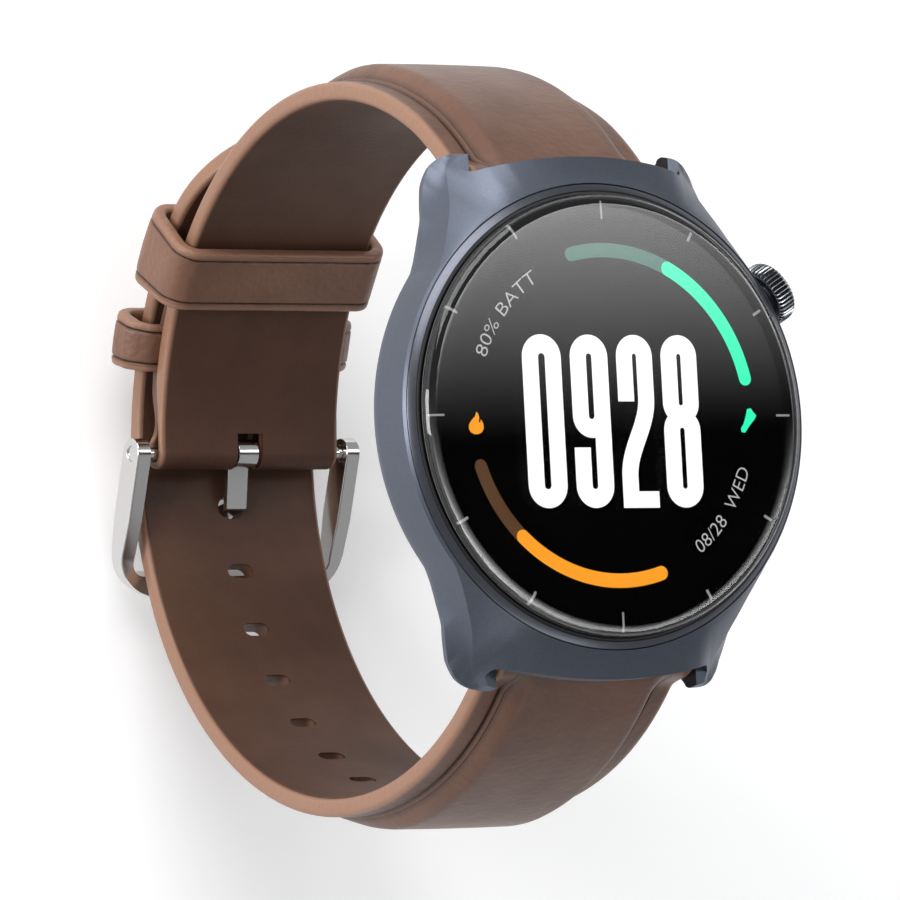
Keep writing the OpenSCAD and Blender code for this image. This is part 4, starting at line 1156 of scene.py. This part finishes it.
FINISHES = {
    "case_metal": grained("case_metal", (0.105, 0.117, 0.146), 0.42, 1.0, 5200.0, 0.32, 0.1),
    "bezel_metal": grained("bezel_metal", (0.095, 0.1, 0.118), 0.3, 1.0, 3000.0, 0.06, 0.08),
    "black_rubber": grained("black_rubber", (0.012, 0.012, 0.013), 0.6, 0.0, 3000.0, 0.3),
    "cover_glass": clear_glass(),
    "display": grained("display", (0.0025, 0.0025, 0.003), 0.5, 0.0, 6000.0, 0.02, 0.05,
                       Specular_IOR_Level=0.0),
    "flex_film": grained("flex_film", (0.45, 0.22, 0.06), 0.35),
    "inner_plastic": grained("inner_plastic", (0.03, 0.03, 0.033), 0.5),
    "circuit_board": grained("circuit_board", (0.01, 0.12, 0.05), 0.4, 0.0, 1400.0, 0.2, 0.25),
    "bare_steel": grained("bare_steel", (0.6, 0.61, 0.62), 0.25, 1.0),
    "battery_foil": grained("battery_foil", (0.5, 0.52, 0.55), 0.35, 1.0, 900.0, 0.3),
    "led_lens": grained("led_lens", (0.6, 0.8, 0.62), 0.15),
    "back_crystal": grained("back_crystal", (0.012, 0.012, 0.014), 0.06, 0.0, 2000.0, 0.0, 0.1,
                            Coat_Weight=0.6),
    "back_plastic": grained("back_plastic", (0.03, 0.033, 0.038), 0.42, 0.0, 3600.0, 0.4),
    "contact_gold": grained("contact_gold", (0.78, 0.52, 0.2), 0.22, 1.0),
    "crown_metal": knurled_metal(),
    "strap_leather": leather("strap_leather", (0.082, 0.034, 0.019), (0.145, 0.066, 0.038),
                             (0.25, 0.13, 0.08), 0.42, 1300.0, 0.4, Specular_IOR_Level=0.4),
    "lining_leather": leather("lining_leather", (0.06, 0.026, 0.015), (0.1, 0.046, 0.027),
                              (0.09, 0.041, 0.024), 0.52, 2100.0, 0.3, Specular_IOR_Level=0.25),
    "padding": grained("padding", (0.5, 0.4, 0.28), 0.9),
    "keeper_leather": leather("keeper_leather", (0.12, 0.055, 0.032), (0.2, 0.098, 0.06),
                              (0.24, 0.122, 0.077), 0.42, 1500.0, 0.6, Specular_IOR_Level=0.4),
    "polished_steel": grained("polished_steel", (0.62, 0.61, 0.6), 0.17, 1.0, 5200.0, 0.04, 0.03),
}
MARKS = {
    "face_digits": lit("lit_white", (1.0, 1.0, 1.0), 1.15),
    "face_ticks": lit("lit_grey", (0.34, 0.35, 0.36), 0.8),
    "face_figures": lit("lit_soft_grey", (0.46, 0.47, 0.48), 1.05),
    "face_arc_green_dim": lit("lit_green_dim", (0.035, 0.16, 0.12), 1.0),
    "face_arc_orange_dim": lit("lit_brown", (0.085, 0.03, 0.001), 1.0),
    "face_arc_green": lit("lit_green", (0.012, 1.0, 0.5), 1.05),
    "face_arc_orange": lit("lit_orange", (1.0, 0.36, 0.004), 1.05),
}
SLOT_OF = {part["node"]: part["material_slot"] for part in frame["record"]["subparts"]}


def dress(piece, mat):
    piece.data.materials.clear()
    piece.data.materials.append(mat)


for name, cad in nodes.items():
    for place in cad.material_slots:
        place.material = FINISHES[SLOT_OF[name]]
    if not cad.material_slots:
        cad.data.materials.append(FINISHES[SLOT_OF[name]])
PIECE_FINISH = {
    "buckle_strap_leather": "strap_leather", "holed_strap_leather": "strap_leather",
    "buckle_strap_inner_face": "lining_leather", "holed_strap_inner_face": "lining_leather",
    "fixed_keeper_leather": "keeper_leather", "free_keeper_leather": "keeper_leather",
    "case_shell": "case_metal", "buckle_frame_steel": "polished_steel", "tang_steel": "polished_steel",
    "back_cover_moulded": "back_plastic", "back_crystal_polished": "back_crystal",
    "bezel_ring_polished": "bezel_metal", "glass_gasket_ring": "black_rubber",
    "cover_glass_domed": "cover_glass", "display_face": "display", "crown_knurled": "crown_metal",
}
for name, key in PIECE_FINISH.items():
    dress(bpy.data.objects[name], FINISHES[key])
for name, mat in MARKS.items():
    dress(bpy.data.objects[name], mat)

# ---- floor, light and camera ----


def stage_plane(name, points, mat, seen=True):
    mesh = bpy.data.meshes.new(name)
    mesh.from_pydata([tuple(p) for p in points], [], [[0, 1, 2, 3]])
    mesh.materials.append(mat)
    plane = bpy.data.objects.new(name, mesh)
    bpy.context.scene.collection.objects.link(plane)
    plane.visible_camera = seen
    return plane


floor_z = cad_box[0][2] - 0.0003
floor_mat, tree, shader = finish_of("pale_floor", (0.9, 0.9, 0.9), 0.7, Emission_Color=(1, 1, 1, 1),
                                    Emission_Strength=0.22)
# seen from below, the floor is clear
two_sided = node(tree, "ShaderNodeMixShader")
link(tree, node(tree, "ShaderNodeNewGeometry").outputs["Backfacing"], two_sided.inputs[0])
link(tree, shader.outputs[0], two_sided.inputs[1])
link(tree, node(tree, "ShaderNodeBsdfTransparent").outputs[0], two_sided.inputs[2])
link(tree, two_sided.outputs[0], tree.nodes["Material Output"].inputs["Surface"])
stage_plane("floor", [(-4, -4, floor_z), (4, -4, floor_z), (4, 4, floor_z), (-4, 4, floor_z)], floor_mat)


def area_light(name, at, aim, size, power):
    light = bpy.data.lights.new(name, "AREA")
    light.shape = "RECTANGLE"
    light.size, light.size_y = size
    light.energy = power
    lamp = bpy.data.objects.new(name, light)
    forward = np.array(aim, float) - np.array(at, float)
    forward /= np.linalg.norm(forward)
    right = np.cross(forward, (0, 0, 1.0))
    right /= np.linalg.norm(right)
    up = np.cross(right, forward)
    lamp.matrix_world = Matrix([[right[i], up[i], -forward[i], at[i]] for i in range(3)] + [[0, 0, 0, 1]])
    bpy.context.scene.collection.objects.link(lamp)
    return lamp


area_light("key", (-0.35, 0.85, 0.55), (0, 0, -0.02), (0.9, 0.7), 9.5)
area_light("side", (-0.95, 0.1, 0.2), (0, 0, -0.02), (0.3, 0.7), 7.5)
area_light("low", (0.1, -0.95, 0.3), (0, 0, -0.03), (0.6, 0.25), 1.2)


CARD_AWAY, GLASS_TOP_M = 0.24, 0.01


def reflection_card():
    """A dark card that only reflections see, where the flat glass mirrors the camera.

    It is black, with a pale band that fades in towards 12 o'clock."""
    mirrored = np.array([0.52861, 0.08361, 0.84474])
    centre = mirrored * CARD_AWAY + np.array([0, 0, GLASS_TOP_M])
    right = np.cross((0, 1, 0), mirrored)
    right /= np.linalg.norm(right)
    up = np.cross(mirrored, right)
    mat = bpy.data.materials.new("reflection_card")
    mat.use_nodes = True
    tree = mat.node_tree
    tree.nodes.clear()
    place = node(tree, "ShaderNodeTexCoord").outputs["Object"]
    split = node(tree, "ShaderNodeSeparateXYZ")
    link(tree, place, split.inputs[0])
    band = spread(tree, split.outputs["Y"], 0.0, 1.0, 0.018, 0.062)
    strength = sums(tree, "MULTIPLY", sums(tree, "POWER", band, 1.6), 6.5)
    glow = node(tree, "ShaderNodeEmission")
    link(tree, strength, glow.inputs["Strength"])
    out = node(tree, "ShaderNodeOutputMaterial")
    link(tree, glow.outputs[0], out.inputs["Surface"])
    half_w, half_h = 0.13, 0.075
    corners = [centre + right * x * half_w + up * y * half_h
               for x, y in ((-1, -1), (1, -1), (1, 1), (-1, 1))]
    card = stage_plane("reflection_card", corners, mat, seen=False)
    card.visible_diffuse = card.visible_shadow = False
    card.visible_volume_scatter = False


reflection_card()

world = bpy.data.worlds.new("studio")
world.use_nodes = True
tree = world.node_tree
tree.nodes["Background"].inputs["Color"].default_value = (0.94, 0.95, 0.97, 1)
seen_white = spread(tree, node(tree, "ShaderNodeLightPath").outputs["Is Camera Ray"], 0.45, 1.0, 0.0, 1.0)
link(tree, seen_white, tree.nodes["Background"].inputs["Strength"])
bpy.context.scene.world = world
bpy.context.scene.view_settings.view_transform = "Standard"

lens = bpy.data.cameras.new("camera")
lens.lens = 360
lens.sensor_width = 36
lens.clip_start, lens.clip_end = 0.05, 20
camera = bpy.data.objects.new("camera", lens)
right, up = (0.84887, -0.05293, 0.52595), (0.00074, 0.99509, 0.09895)
forward, eye = (0.52861, 0.08361, -0.84474), (-0.4596, -0.0731, 0.7147)
camera.matrix_world = Matrix([[right[i], up[i], -forward[i], eye[i]] for i in range(3)] + [[0, 0, 0, 1]])
bpy.context.scene.collection.objects.link(camera)
bpy.context.scene.camera = camera
